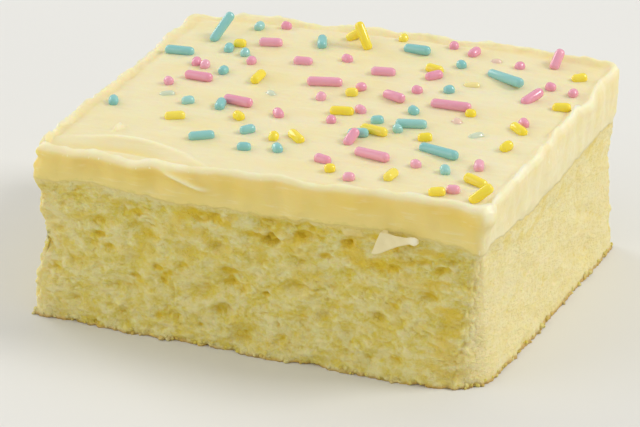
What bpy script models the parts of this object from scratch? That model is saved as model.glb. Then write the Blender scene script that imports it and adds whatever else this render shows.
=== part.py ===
"""A square slice of sheet cake: pale yellow sponge, thick buttercream icing and sugar sprinkles.

The slice rests on its flat base, its front cut face towards -Y and its right cut face towards +X.
Every shape is worked out in a plain rectangle, SLICE_WIDTH by SLICE_DEPTH round the middle, which is
then bent to the slice's own four corners.
"""
import math
import random
from collections import namedtuple

import bmesh
import bpy
from mathutils import Vector, noise

# Driving dimensions, in metres
SLICE_WIDTH = 0.088
SLICE_DEPTH = 0.071
LAYER_HEIGHT = 0.0282
ICING_HEIGHT = 0.0355
SPRINKLE_THICKNESS = 0.0019

# Corners in plan: front left, front right, back right, back left
FOOT_X = (-0.0469, 0.0416, 0.0460, -0.0437)
FOOT_Y = (-0.0350, -0.0362, 0.0366, 0.0360)
TOP_X = (-0.0453, 0.0418, 0.0452, -0.0428)
TOP_Y = (-0.0354, -0.0347, 0.0370, 0.0360)
CORNER_HEIGHTS = (0.0336, 0.0350, 0.0366, 0.0354)
CORNER_RADIUS = 0.0028
BROAD_CORNER_EXTRA = 0.0045

# Cells that the faces are divided into
CELLS_ACROSS = 42
CELLS_BACK = 34
SPONGE_ROWS = 13
ICING_ROWS = 4
RING_SHARE = 0.75

# Independent stretches of the noise that makes things uneven, one for each use
NOISE_STEP = 7.3
BORDER_NOISE, FACE_NOISE, LUMP_NOISE, SWIPE_NOISE, LIP_NOISE, SMEAR_NOISE, EDGE_NOISE = range(7)

# Cut faces
WAIST_DEPTH = 0.0010
UNEVEN_DEPTH = 0.0009
UNEVEN_LENGTH = 0.013
LUMP_DEPTH = 0.00065
LUMP_LENGTH = 0.0036
PORE_DEPTH = 0.0015
PORE_SPACING = 0.0055
PORE_SIZE = 0.44
PORE_SIZE_SPREAD = 0.4
PORE_WIDENING = 1.6
RIGHT_FACE_CALM = 0.7
CRUMB_FADE = 0.0020

# The uneven front left corner: a bulge under the icing, a hollow halfway down, and a lean at the top
CORNER_REACH = 0.010
BULGE_HEIGHT = 0.0260
BULGE_REACH = 0.0045
BULGE_DEPTH = 0.0011
DENT_HEIGHT = 0.0155
DENT_REACH = 0.0055
DENT_DEPTH = 0.0011
LEAN_START = 0.0290
LEAN_RUN = 0.0050
LEAN_DEPTH = 0.0011

# Line between sponge and icing
LAYER_GAP = 0.0003
BORDER_WAVE = 0.0013
BORDER_LENGTH = 0.010
RIGHT_DRAG = 0.0018
RIGHT_DRAG_START = 0.020
RIGHT_DRAG_RUN = 0.016
CORNER_DRAG = 0.0016
CORNER_DRAG_REACH = 0.0040

# Icing
ICING_OVERHANG = 0.0002
RIM_RADIUS = 0.0017
LIP_HEIGHT = 0.0005
LIP_WIDTH = 0.0016
LIP_WAVE = 0.0009
LIP_WAVE_LENGTH = 0.007
SWIPE_DEPTH = 0.0005
SWIPE_LENGTH = 0.034
SWIPE_WIDTH = 0.0065
BACK_CROWN = 0.0015
CROWN_START = 0.3
SMEAR_DEPTH = 0.0006
SMEAR_WIDTH = 0.0035
SMEAR_LENGTH = 0.011
EDGE_WANDER = 0.0007
EDGE_WANDER_LENGTH = 0.009

# The curved ridge and the hollow before it that the knife left at the front left
RIDGE_PEAK_X = -0.028
RIDGE_PEAK_Y = -0.0268
RIDGE_CURVE = 20.0
RIDGE_HALF_LENGTH = 0.017
RIDGE_HEIGHT = 0.0007
RIDGE_WIDTH = 0.0016
HOLLOW_OFFSET = 0.0034
HOLLOW_DEPTH = 0.0006

# The fold of the front lip, which runs down the front face where one stroke overlaps the next
FOLD_START_X = -0.019
FOLD_END_X = -0.006
FOLD_DROP = 0.0030
FOLD_HEIGHT = 0.0008
FOLD_WIDTH = 0.0012
FOLD_FADE = 0.25

# The curl that hangs at the front right corner
CURL_HEIGHT = 0.0335
CURL_REACH = 0.0028
CURL_DEPTH = 0.0012

# The flake of icing that hangs from the layer's edge on the front face
FLAKE_X = 0.0280
FLAKE_HINGE = 0.0290
FLAKE_TILT = math.radians(32)
FLAKE_THICKNESS = 0.0008
FLAKE_CLEARANCE = 0.0007
FLAKE_OUTLINE = (
    (-0.0036, 0.0010),
    (-0.0027, 0.0010),
    (-0.0025, -0.0005),
    (-0.0015, -0.0009),
    (0.0009, -0.0010),
    (0.0025, -0.0006),
    (0.0032, -0.0009),
    (0.0033, -0.0016),
    (0.0027, -0.0022),
    (0.0017, -0.0020),
    (-0.0006, -0.0029),
    (-0.0024, -0.0039),
    (-0.0034, -0.0045),
    (-0.0047, -0.0047),
    (-0.0042, -0.0021),
    (-0.0038, -0.0006),
)

# Sprinkles
SPRINKLE_SIDES = 6
SPRINKLE_SEED = 11
SHORT_SPRINKLES = 74
SHORTEST_SPRINKLE = 0.0020
LONGEST_SHORT_SPRINKLE = 0.0048
SHORTNESS = 2.4
CANDIDATES = 7
PARTNER_SHARE = 0.22
PARTNER_DISTANCE = 0.0016
SPRINKLE_SPACING = 0.0021
CORE_STEPS = 4
SPRINKLE_MARGIN = 0.0035
BARE_FRONT = 0.0045
BARE_CORNER_X = 0.010
BARE_CORNER_SLOPE = 0.36
STANDING_SHARE = 0.14
STANDING_LIFTS = (20.0, 40.0)
LYING_LIFTS = (0.0, 8.0)
USUAL_SINK = 0.30
DEEP_SINK = 0.70
DEEP_SHARE = 0.08
COLOUR_SHARES = (("pink", 0.36), ("yellow", 0.34), ("blue", 0.30))

# Colour, place from the middle, heading and lift in degrees, length and share of the thickness sunk
Sprinkle = namedtuple("Sprinkle", "colour x y heading lift length sink")
LONG_SPRINKLES = (
    Sprinkle("blue", 0.0262, 0.0197, -28, 3, 0.0088, 0.25),
    Sprinkle("blue", 0.0265, -0.0151, -18, 2, 0.0082, 0.25),
    Sprinkle("blue", -0.0331, 0.0240, 68, 38, 0.0071, 0.30),
    Sprinkle("pink", 0.0210, 0.0052, -2, 2, 0.0078, 0.25),
    Sprinkle("pink", 0.0157, -0.0196, -13, 2, 0.0070, 0.25),
    Sprinkle("pink", -0.0050, 0.0079, 12, 1, 0.0067, 0.25),
    Sprinkle("pink", -0.0170, -0.0043, -10, 2, 0.0060, 0.25),
    Sprinkle("blue", -0.0378, 0.0149, 1, 2, 0.0059, 0.25),
    Sprinkle("pink", -0.0288, 0.0040, -8, 3, 0.0058, 0.25),
    Sprinkle("blue", 0.0172, -0.0048, 13, 1, 0.0058, 0.25),
    Sprinkle("yellow", -0.0051, 0.0270, 146, 52, 0.0059, 0.30),
    Sprinkle("yellow", 0.0120, -0.0097, -14, 2, 0.0055, 0.25),
    Sprinkle("blue", 0.0059, 0.0269, -11, 5, 0.0056, 0.30),
    Sprinkle("pink", 0.0338, 0.0130, 64, 12, 0.0052, 0.25),
    Sprinkle("pink", 0.0097, 0.0056, -26, 4, 0.0050, 0.25),
    Sprinkle("pink", -0.0222, 0.0224, 9, 2, 0.0046, 0.25),
    Sprinkle("yellow", 0.0030, -0.0030, 7, 2, 0.0045, 0.25),
)

# Colours
SPONGE_COLOUR = (0.72, 0.60, 0.22)
ICING_COLOUR = (0.84, 0.70, 0.36)

# Share of the half size from which a point of the divided cube counts as lying on an outer face
OUTER = 0.999

# A direction out of the slice faces the front below this Y
FRONT_FACING = -0.7

# Points closer together than this are one point
SAME_POINT = 0.000002


def smooth_step(value):
    """Rises smoothly from 0 to 1 while the value goes from 0 to 1."""
    share = min(1.0, max(0.0, value))
    return share * share * (3 - 2 * share)


def bump(distance, width):
    """A round bump: 1 at no distance, close to 0 at twice the width."""
    return math.exp(-((distance / width) ** 2))


def uneven(x, y, z, which):
    """Smooth noise from about -1 to 1 at a place counted in wave lengths, in one of its stretches."""
    return noise.noise(Vector((x, y, z + NOISE_STEP * which)))


def between_corners(values, x, y):
    """A value given at the four corners, at the plan place (x, y)."""
    right = 0.5 + x / SLICE_WIDTH
    back = 0.5 + y / SLICE_DEPTH
    weights = ((1 - right) * (1 - back), right * (1 - back), right * back, (1 - right) * back)
    return sum(weight * value for weight, value in zip(weights, values))


def bent(x, y, z):
    """The plain rectangle's point (x, y, z), bent to the slice's own corners."""
    rise = z / ICING_HEIGHT
    new_x = (1 - rise) * between_corners(FOOT_X, x, y) + rise * between_corners(TOP_X, x, y)
    new_y = (1 - rise) * between_corners(FOOT_Y, x, y) + rise * between_corners(TOP_Y, x, y)
    return Vector((new_x, new_y, z))


def corner_radius(x, y, z):
    """Radius of the upright corners, larger low down at the front right."""
    front_right = between_corners((0.0, 1.0, 0.0, 0.0), x, y)
    return CORNER_RADIUS + BROAD_CORNER_EXTRA * front_right * max(0.0, 1 - z / ICING_HEIGHT)


def past_corner_centre(x, y, radius):
    """How far a place lies beyond the centres of the corner arcs, along X and along Y."""
    return abs(x) - SLICE_WIDTH / 2 + radius, abs(y) - SLICE_DEPTH / 2 + radius


def rounded_plan(x, y, radius):
    """Draws the squares round a corner onto arcs, so that the rectangle gets round corners."""
    over_x, over_y = past_corner_centre(x, y, radius)
    if over_x <= 0 or over_y <= 0:
        return x, y
    shrink = max(over_x, over_y) / math.hypot(over_x, over_y)
    new_x = math.copysign(SLICE_WIDTH / 2 - radius + over_x * shrink, x)
    new_y = math.copysign(SLICE_DEPTH / 2 - radius + over_y * shrink, y)
    return new_x, new_y


def inward_and_out(x, y, radius):
    """Distance in from the rounded outline, and the direction straight out of it."""
    over_x, over_y = past_corner_centre(x, y, radius)
    if over_x > 0 and over_y > 0:
        out = Vector((math.copysign(over_x, x), math.copysign(over_y, y), 0))
        inward = radius - out.length
        return inward, out.normalized()
    if over_x > over_y:
        return radius - over_x, Vector((math.copysign(1, x), 0, 0))
    return radius - over_y, Vector((0, math.copysign(1, y), 0))


def border_height(x, y):
    """Height of the line between sponge and icing along the outline."""
    wave = BORDER_WAVE * uneven(x / BORDER_LENGTH, y / BORDER_LENGTH, 0, BORDER_NOISE)
    to_right = smooth_step((x - RIGHT_DRAG_START) / (SLICE_WIDTH / 2 - RIGHT_DRAG_START))
    past_front = smooth_step((y + SLICE_DEPTH / 2) / RIGHT_DRAG_RUN)
    corner = math.hypot(x - SLICE_WIDTH / 2, y + SLICE_DEPTH / 2)
    dragged = RIGHT_DRAG * to_right * past_front + CORNER_DRAG * bump(corner, CORNER_DRAG_REACH)
    return LAYER_HEIGHT + wave - dragged


def left_corner_depth(x, y, z):
    """How far the front left corner lies further in than the cut faces beside it."""
    corner = math.hypot(x + SLICE_WIDTH / 2, y + SLICE_DEPTH / 2)
    bulge = BULGE_DEPTH * bump(z - BULGE_HEIGHT, BULGE_REACH)
    dent = DENT_DEPTH * bump(z - DENT_HEIGHT, DENT_REACH)
    lean = LEAN_DEPTH * smooth_step((z - LEAN_START) / LEAN_RUN)
    return (dent + lean - bulge) * bump(corner, CORNER_REACH)


def face_depth(x, y, z):
    """How far the knife's cut lies in from the plain face, the same for both layers."""
    waist = WAIST_DEPTH * math.sin(math.pi * min(1.0, z / ICING_HEIGHT))
    wave = uneven(x / UNEVEN_LENGTH, y / UNEVEN_LENGTH, z / UNEVEN_LENGTH, FACE_NOISE)
    return waist + UNEVEN_DEPTH * (0.5 + 0.5 * wave) + left_corner_depth(x, y, z)


def crumb_depth(x, y, z, out):
    """How far the torn crumb lies in from the cut: lumps and the larger pores, faint on the right."""
    place = Vector((x / PORE_WIDENING, y / PORE_WIDENING, z))
    lumps = uneven(*(place / LUMP_LENGTH), LUMP_NOISE)
    distances, centres = noise.voronoi(place / PORE_SPACING)
    size = PORE_SIZE * (1 - PORE_SIZE_SPREAD * noise.cell(centres[0]))
    pore = smooth_step(1 - distances[0] / size)
    calm = 1 - RIGHT_FACE_CALM * max(0.0, out.x)
    return calm * (LUMP_DEPTH * lumps + PORE_DEPTH * pore)


def ridge_line(x):
    """Place of the curved ridge at the front left, and how strongly it shows there."""
    along = x - RIDGE_PEAK_X
    return RIDGE_PEAK_Y - RIDGE_CURVE * along * along, bump(along, RIDGE_HALF_LENGTH)


def icing_top(x, y):
    """Height of the spread icing: its crown, knife strokes, lips and front ridge."""
    back = 0.5 + y / SLICE_DEPTH
    across = x / (SLICE_WIDTH / 2)
    height = between_corners(CORNER_HEIGHTS, x, y)
    crown = smooth_step((back - CROWN_START) / (1 - CROWN_START)) * (1 - across * across)
    height += BACK_CROWN * crown
    height += SWIPE_DEPTH * uneven(x / SWIPE_LENGTH, y / SWIPE_WIDTH, 0, SWIPE_NOISE)
    inward, _ = inward_and_out(x, y, CORNER_RADIUS)
    wave = LIP_WAVE * uneven(x / LIP_WAVE_LENGTH, y / LIP_WAVE_LENGTH, 0, LIP_NOISE)
    height += (LIP_HEIGHT + wave) * bump(inward - RIM_RADIUS / 2, LIP_WIDTH)
    ridge_y, strength = ridge_line(x)
    height += RIDGE_HEIGHT * strength * bump(y - ridge_y, RIDGE_WIDTH)
    height -= HOLLOW_DEPTH * strength * bump(y - ridge_y + HOLLOW_OFFSET, RIDGE_WIDTH)
    return height


def icing_push(x, y, z, out):
    """How far the icing's side bulges out: smears, a wandering edge, the fold and the corner curl."""
    smears = SMEAR_DEPTH * uneven(x / SMEAR_WIDTH, y / SMEAR_WIDTH, z / SMEAR_LENGTH, SMEAR_NOISE)
    rise = smooth_step((z - LAYER_HEIGHT) / (ICING_HEIGHT - LAYER_HEIGHT))
    wander = EDGE_WANDER * rise * uneven(x / EDGE_WANDER_LENGTH, y / EDGE_WANDER_LENGTH, 0, EDGE_NOISE)
    push = smears + wander
    if out.y < FRONT_FACING:
        run = smooth_step((x - FOLD_START_X) / (FOLD_END_X - FOLD_START_X))
        fold_z = icing_top(x, y) - RIM_RADIUS / 2 - FOLD_DROP * run
        strength = smooth_step((1 - run) / FOLD_FADE)
        push += FOLD_HEIGHT * strength * bump(z - fold_z, FOLD_WIDTH)
    corner = math.hypot(x - SLICE_WIDTH / 2, y + SLICE_DEPTH / 2)
    push += CURL_DEPTH * bump(math.hypot(corner - CORNER_RADIUS / 2, z - CURL_HEIGHT), CURL_REACH)
    return push


def divided_box(name, rows, plain_ends):
    """A cube of half size 1 with divided walls. A plain end, -1 or 1 along Z, is one face in a ring."""
    mesh = bmesh.new()
    bmesh.ops.create_cube(mesh, size=2.0)
    ends = [face for face in mesh.faces if round(face.normal.z) in plain_ends]
    bmesh.ops.delete(mesh, geom=ends, context="FACES_ONLY")
    for axis, cells in enumerate((CELLS_ACROSS, CELLS_BACK, rows)):
        edges = [edge for edge in mesh.edges
                 if abs(edge.verts[0].co[axis] - edge.verts[1].co[axis]) > 1]
        bmesh.ops.subdivide_edges(mesh, edges=edges, cuts=cells - 1)
    closed = bmesh.ops.holes_fill(mesh, edges=mesh.edges[:], sides=0)["faces"]
    for face in closed:
        bmesh.ops.extrude_discrete_faces(mesh, faces=[face])
    middles = [face for face in mesh.faces if len(face.verts) > 4]
    for middle in middles:
        bmesh.ops.scale(mesh, vec=(RING_SHARE, RING_SHARE, 1), verts=middle.verts[:])
    ring = [face for middle in middles for edge in middle.edges for face in edge.link_faces
            if face is not middle]
    bmesh.ops.triangulate(mesh, faces=ring, quad_method="SHORT_EDGE")
    bmesh.ops.recalc_face_normals(mesh, faces=mesh.faces[:])
    data = bpy.data.meshes.new(name)
    mesh.to_mesh(data)
    mesh.free()
    return data


def on_wall(point):
    """Whether a point of the divided cube belongs to its four walls."""
    return max(abs(point.x), abs(point.y)) > OUTER


def sponge_point(point):
    """Where a point of the divided cube lies on the sponge."""
    wall = on_wall(point)
    level = (point.z + 1) / 2
    plain_x = point.x * SLICE_WIDTH / 2
    plain_y = point.y * SLICE_DEPTH / 2
    border = border_height(plain_x, plain_y) if wall else LAYER_HEIGHT
    z = level * (border - LAYER_GAP)
    x, y = rounded_plan(plain_x, plain_y, corner_radius(plain_x, plain_y, z))
    if wall:
        _, out = inward_and_out(x, y, corner_radius(x, y, z))
        fade = smooth_step((border - z) / CRUMB_FADE)
        depth = face_depth(x, y, z) + fade * crumb_depth(x, y, z, out)
        x -= depth * out.x
        y -= depth * out.y
    return bent(x, y, z)


def icing_point(point):
    """Where a point of the divided cube lies on the icing."""
    wall = on_wall(point)
    level = (point.z + 1) / 2
    plain_x = point.x * SLICE_WIDTH / 2
    plain_y = point.y * SLICE_DEPTH / 2
    x, y = rounded_plan(plain_x, plain_y, CORNER_RADIUS)
    top = icing_top(x, y)
    if level < 1 - OUTER and not wall:
        return bent(x, y, LAYER_HEIGHT)
    bottom = border_height(plain_x, plain_y)
    below = (1 - level) * (top - bottom) if wall else 0.0
    inward, out = inward_and_out(x, y, CORNER_RADIUS)
    if inward < RIM_RADIUS and below < RIM_RADIUS:
        from_centre = Vector((inward - RIM_RADIUS, below - RIM_RADIUS))
        scale = RIM_RADIUS / from_centre.length
        shift = RIM_RADIUS + scale * from_centre.x - inward
        x -= shift * out.x
        y -= shift * out.y
        below = RIM_RADIUS + scale * from_centre.y
    z = top - below
    near = smooth_step(1 - inward / (2 * RIM_RADIUS))
    push = near * (ICING_OVERHANG + icing_push(x, y, z, out) * smooth_step((z - bottom) / CRUMB_FADE)
                   - face_depth(x, y, z))
    return bent(x + push * out.x, y + push * out.y, z)


def shaped(data, place):
    """Moves every point of a divided cube to its place."""
    for vertex in data.vertices:
        vertex.co = place(vertex.co)
    return data


def material(name, colour, roughness):
    """A plain finish with a base colour and a roughness."""
    finish = bpy.data.materials.new(name)
    finish.use_nodes = True
    shader = finish.node_tree.nodes["Principled BSDF"]
    shader.inputs["Base Color"].default_value = (*colour, 1)
    shader.inputs["Roughness"].default_value = roughness
    shader.inputs["Metallic"].default_value = 0.0
    return finish


def add_object(name, data, collection):
    """A named object with the given mesh, in a collection."""
    thing = bpy.data.objects.new(name, data)
    collection.objects.link(thing)
    return thing


def on_sprinkled_top(x, y):
    """Whether a place lies in from the edges, and clear of the bare strip and front left corner."""
    inward, _ = inward_and_out(x, y, CORNER_RADIUS)
    slope = BARE_CORNER_SLOPE * max(0.0, BARE_CORNER_X - x)
    return inward > SPRINKLE_MARGIN and y > BARE_FRONT + slope - SLICE_DEPTH / 2


def core_points(sprinkle):
    """Plan places along a sprinkle's core, from one rounded end to the other."""
    heading = math.radians(sprinkle.heading)
    reach = (sprinkle.length - SPRINKLE_THICKNESS) / 2 * math.cos(math.radians(sprinkle.lift))
    steps = [reach * step / CORE_STEPS for step in range(-CORE_STEPS, CORE_STEPS + 1)]
    return [(sprinkle.x + step * math.cos(heading), sprinkle.y + step * math.sin(heading))
            for step in steps]


def open_space(sprinkle, laid):
    """Distance in plan between a sprinkle's core and the nearest core that is already laid."""
    own = core_points(sprinkle)
    return min(math.dist(here, there) for other in laid for here in own for there in core_points(other))


def anywhere(rng, sprinkle):
    """The sprinkle at a random place on the top."""
    x = rng.uniform(-1, 1) * (SLICE_WIDTH / 2 - SPRINKLE_MARGIN)
    y = rng.uniform(-1, 1) * (SLICE_DEPTH / 2 - SPRINKLE_MARGIN)
    return sprinkle._replace(x=x, y=y)


def beside(rng, sprinkle, other):
    """The sprinkle at a random place close to one that is already laid."""
    side = rng.uniform(-math.pi, math.pi)
    reach = PARTNER_DISTANCE + rng.random() * other.length / 2
    return sprinkle._replace(x=other.x + reach * math.cos(side), y=other.y + reach * math.sin(side))


def best_place(rng, sprinkle, laid):
    """The sprinkle at the most open of a few places, or at the closest fit beside another."""
    partner = rng.random() < PARTNER_SHARE
    other = rng.choice(laid)
    tried = []
    while len(tried) < CANDIDATES:
        there = beside(rng, sprinkle, other) if partner else anywhere(rng, sprinkle)
        space = open_space(there, laid)
        if space > SPRINKLE_SPACING and on_sprinkled_top(there.x, there.y):
            tried.append((-space if partner else space, there))
        other = rng.choice(laid)
    return max(tried)[1]


def all_sprinkles():
    """The long sprinkles, then ever shorter ones spread over what is bare, some close to another."""
    rng = random.Random(SPRINKLE_SEED)
    laid = list(LONG_SPRINKLES)
    spread = LONGEST_SHORT_SPRINKLE - SHORTEST_SPRINKLE
    lengths = [SHORTEST_SPRINKLE + spread * rng.random() ** SHORTNESS for _ in range(SHORT_SPRINKLES)]
    names = [name for name, _ in COLOUR_SHARES]
    shares = [share for _, share in COLOUR_SHARES]
    for length in sorted(lengths, reverse=True):
        lift = rng.uniform(*(STANDING_LIFTS if rng.random() < STANDING_SHARE else LYING_LIFTS))
        sink = DEEP_SINK if rng.random() < DEEP_SHARE else USUAL_SINK
        colour = rng.choices(names, shares)[0]
        sprinkle = Sprinkle(colour, 0, 0, rng.uniform(0, 180), lift, length, sink)
        laid.append(best_place(rng, sprinkle, laid))
    return laid


def sprinkle_mesh(length):
    """A short rod along X with round ends: a sphere of few sides, pulled apart at its middle."""
    mesh = bmesh.new()
    bmesh.ops.create_uvsphere(mesh, u_segments=SPRINKLE_SIDES, v_segments=3,
                              radius=SPRINKLE_THICKNESS / 2)
    stretch = (length - SPRINKLE_THICKNESS) / 2
    for vertex in mesh.verts:
        along = vertex.co.z + math.copysign(stretch, vertex.co.z)
        vertex.co = Vector((along, vertex.co.y, -vertex.co.x))
    data = bpy.data.meshes.new("sprinkle")
    mesh.to_mesh(data)
    mesh.free()
    return data


def lay_sprinkle(number, sprinkle, collection):
    """Puts one sprinkle on the icing, sunk in by its share."""
    thing = add_object(f"sprinkle_{number:02d}", sprinkle_mesh(sprinkle.length), collection)
    lift = math.radians(sprinkle.lift)
    surface = icing_top(sprinkle.x, sprinkle.y)
    raised = SPRINKLE_THICKNESS * (0.5 - sprinkle.sink)
    raised += math.sin(lift) * (sprinkle.length - SPRINKLE_THICKNESS) / 2
    thing.location = bent(sprinkle.x, sprinkle.y, surface) + Vector((0, 0, raised))
    thing.rotation_euler = (0, -lift, math.radians(sprinkle.heading))


def hang_flake(collection):
    """The flake: a flat outline with a thickness, tilted out of the front face from its hinge."""
    curve = bpy.data.curves.new("flake", "CURVE")
    curve.dimensions = "2D"
    curve.fill_mode = "BOTH"
    curve.extrude = FLAKE_THICKNESS / 2
    spline = curve.splines.new("POLY")
    spline.points.add(len(FLAKE_OUTLINE) - 1)
    for point, (across, up) in zip(spline.points, FLAKE_OUTLINE):
        point.co = (across, up, 0, 1)
    spline.use_cyclic_u = True
    guide = add_object("flake_outline", curve, collection)
    bpy.context.view_layer.update()
    data = bpy.data.meshes.new_from_object(guide.evaluated_get(bpy.context.evaluated_depsgraph_get()))
    bpy.data.objects.remove(guide)
    mesh = bmesh.new()
    mesh.from_mesh(data)
    bmesh.ops.remove_doubles(mesh, verts=mesh.verts[:], dist=SAME_POINT)
    bmesh.ops.recalc_face_normals(mesh, faces=mesh.faces[:])
    mesh.to_mesh(data)
    mesh.free()
    face_y = -SLICE_DEPTH / 2 + face_depth(FLAKE_X, -SLICE_DEPTH / 2, FLAKE_HINGE)
    flake = add_object("flake", data, collection)
    flake.location = bent(FLAKE_X, face_y - FLAKE_CLEARANCE, FLAKE_HINGE)
    flake.rotation_euler = (math.pi / 2 - FLAKE_TILT, 0, 0)


def fuse(thing, toppings):
    """Joins a collection of pieces to an object by one union, then clears the collection."""
    union = thing.modifiers.new("toppings", "BOOLEAN")
    union.operation = "UNION"
    union.operand_type = "COLLECTION"
    union.collection = toppings
    bpy.context.view_layer.update()
    joined = bpy.data.meshes.new_from_object(thing.evaluated_get(bpy.context.evaluated_depsgraph_get()))
    thing.modifiers.remove(union)
    thing.data = joined
    for piece in list(toppings.objects):
        bpy.data.objects.remove(piece)
    bpy.data.collections.remove(toppings)


def build_sponge(collection):
    """The sponge: torn crumb on four sides, a flat base and a top that carries the icing."""
    data = shaped(divided_box("sponge", SPONGE_ROWS, (-1, 1)), sponge_point)
    data.materials.append(material("sponge_crumb", SPONGE_COLOUR, 0.85))
    return add_object("sponge", data, collection)


def build_icing(collection):
    """The icing: one spread layer with the flake and every sprinkle joined to it."""
    data = shaped(divided_box("icing", ICING_ROWS, (-1,)), icing_point)
    icing = add_object("icing", data, collection)
    toppings = bpy.data.collections.new("icing_toppings")
    bpy.context.scene.collection.children.link(toppings)
    hang_flake(toppings)
    for number, sprinkle in enumerate(all_sprinkles()):
        lay_sprinkle(number, sprinkle, toppings)
    fuse(icing, toppings)
    icing.data.materials.clear()
    icing.data.materials.append(material("buttercream", ICING_COLOUR, 0.45))
    return icing


def main():
    for thing in list(bpy.data.objects):
        bpy.data.objects.remove(thing)
    cake_slice = bpy.data.collections.new("cake_slice")
    bpy.context.scene.collection.children.link(cake_slice)
    build_sponge(cake_slice)
    build_icing(cake_slice)


main()
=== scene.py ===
"""A square slice of iced sheet cake with sugar sprinkles, dressed over its fixed solids.

Every shape is worked out in a plain rectangle, SLICE_WIDTH by SLICE_DEPTH round the middle, which is
then bent to the slice's own four corners, just as the solids are.
"""

import math
import random
from collections import namedtuple

import bmesh
import bpy
import numpy as np
from bpy.props import FloatProperty, FloatVectorProperty, IntProperty, PointerProperty
from mathutils import Matrix, Vector, noise


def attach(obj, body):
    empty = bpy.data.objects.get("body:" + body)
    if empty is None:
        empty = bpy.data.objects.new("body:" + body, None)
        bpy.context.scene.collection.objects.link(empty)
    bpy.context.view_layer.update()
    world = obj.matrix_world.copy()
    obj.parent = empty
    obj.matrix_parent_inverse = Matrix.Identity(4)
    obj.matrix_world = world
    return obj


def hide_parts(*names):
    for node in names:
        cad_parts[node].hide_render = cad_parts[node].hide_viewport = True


bl_info = {
    "name": "Iced sheet cake slice",
    "version": (1, 0, 0),
    "blender": (4, 5, 0),
    "location": "View3D > Sidebar > Cake slice",
    "description": "Makes a slice of iced sheet cake with sugar sprinkles",
    "category": "Add Mesh",
}

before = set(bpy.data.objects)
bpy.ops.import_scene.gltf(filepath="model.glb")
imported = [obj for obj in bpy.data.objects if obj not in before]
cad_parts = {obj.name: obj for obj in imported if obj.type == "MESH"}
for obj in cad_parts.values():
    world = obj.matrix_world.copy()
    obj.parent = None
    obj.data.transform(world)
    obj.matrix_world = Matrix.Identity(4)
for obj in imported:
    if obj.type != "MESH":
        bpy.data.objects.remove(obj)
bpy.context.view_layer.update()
BODY = "root"

# Sizes in metres, as in the solids
SLICE_WIDTH = 0.088
SLICE_DEPTH = 0.071
LAYER_HEIGHT = 0.0282
ICING_HEIGHT = 0.0355
SPRINKLE_THICKNESS = 0.0019

# Corners in plan: front left, front right, back right, back left
FOOT_X = (-0.0469, 0.0416, 0.0460, -0.0437)
FOOT_Y = (-0.0350, -0.0362, 0.0366, 0.0360)
TOP_X = (-0.0453, 0.0418, 0.0452, -0.0428)
TOP_Y = (-0.0354, -0.0347, 0.0370, 0.0360)
CORNER_HEIGHTS = (0.0336, 0.0350, 0.0366, 0.0354)
CORNER_RADIUS = 0.0028
BROAD_CORNER_EXTRA = 0.0045
RING_SHARE = 0.75

# Independent stretches of the noise that makes things uneven, one for each use
NOISE_STEP = 7.3
(BORDER_NOISE, FACE_NOISE, LUMP_NOISE, SWIPE_NOISE, LIP_NOISE, SMEAR_NOISE, EDGE_NOISE,
 STREAK_NOISE, CLOT_NOISE, GRAIN_NOISE, CRUST_NOISE, PATCH_NOISE, DRAG_NOISE) = range(13)

# Cut faces
WAIST_DEPTH = 0.0010
UNEVEN_DEPTH = 0.0009
UNEVEN_LENGTH = 0.013
LUMP_DEPTH = 0.00065
LUMP_LENGTH = 0.0036
PORE_DEPTH = 0.0015
PORE_SPACING = 0.0055
PORE_SIZE = 0.44
PORE_SIZE_SPREAD = 0.4
PORE_WIDENING = 1.6
RIGHT_FACE_CALM = 0.7
CRUMB_FADE = 0.0020

# The uneven front left corner: a bulge under the icing, a hollow halfway down, and a lean at the top
CORNER_REACH = 0.010
BULGE_HEIGHT = 0.0260
BULGE_REACH = 0.0045
BULGE_DEPTH = 0.0011
DENT_HEIGHT = 0.0155
DENT_REACH = 0.0055
DENT_DEPTH = 0.0011
LEAN_START = 0.0290
LEAN_RUN = 0.0050
LEAN_DEPTH = 0.0011

# Line between sponge and icing
LAYER_GAP = 0.0003
BORDER_WAVE = 0.0013
BORDER_LENGTH = 0.010
RIGHT_DRAG = 0.0018
RIGHT_DRAG_START = 0.020
RIGHT_DRAG_RUN = 0.016
CORNER_DRAG = 0.0016
CORNER_DRAG_REACH = 0.0040

# Icing
ICING_OVERHANG = 0.0002
RIM_RADIUS = 0.0017
LIP_HEIGHT = 0.0005
LIP_WIDTH = 0.0016
LIP_WAVE = 0.0009
LIP_WAVE_LENGTH = 0.007
SWIPE_DEPTH = 0.0005
SWIPE_LENGTH = 0.034
SWIPE_WIDTH = 0.0065
BACK_CROWN = 0.0015
CROWN_START = 0.3
SMEAR_DEPTH = 0.0006
SMEAR_WIDTH = 0.0035
SMEAR_LENGTH = 0.011
EDGE_WANDER = 0.0007
EDGE_WANDER_LENGTH = 0.009
RIDGE_PEAK_X = -0.028
RIDGE_PEAK_Y = -0.0268
RIDGE_CURVE = 20.0
RIDGE_HALF_LENGTH = 0.017
RIDGE_HEIGHT = 0.0007
RIDGE_WIDTH = 0.0016
HOLLOW_OFFSET = 0.0034
HOLLOW_DEPTH = 0.0006
FOLD_START_X = -0.019
FOLD_END_X = -0.006
FOLD_DROP = 0.0030
FOLD_HEIGHT = 0.0008
FOLD_WIDTH = 0.0012
FOLD_FADE = 0.25
CURL_HEIGHT = 0.0335
CURL_REACH = 0.0028
CURL_DEPTH = 0.0012

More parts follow.
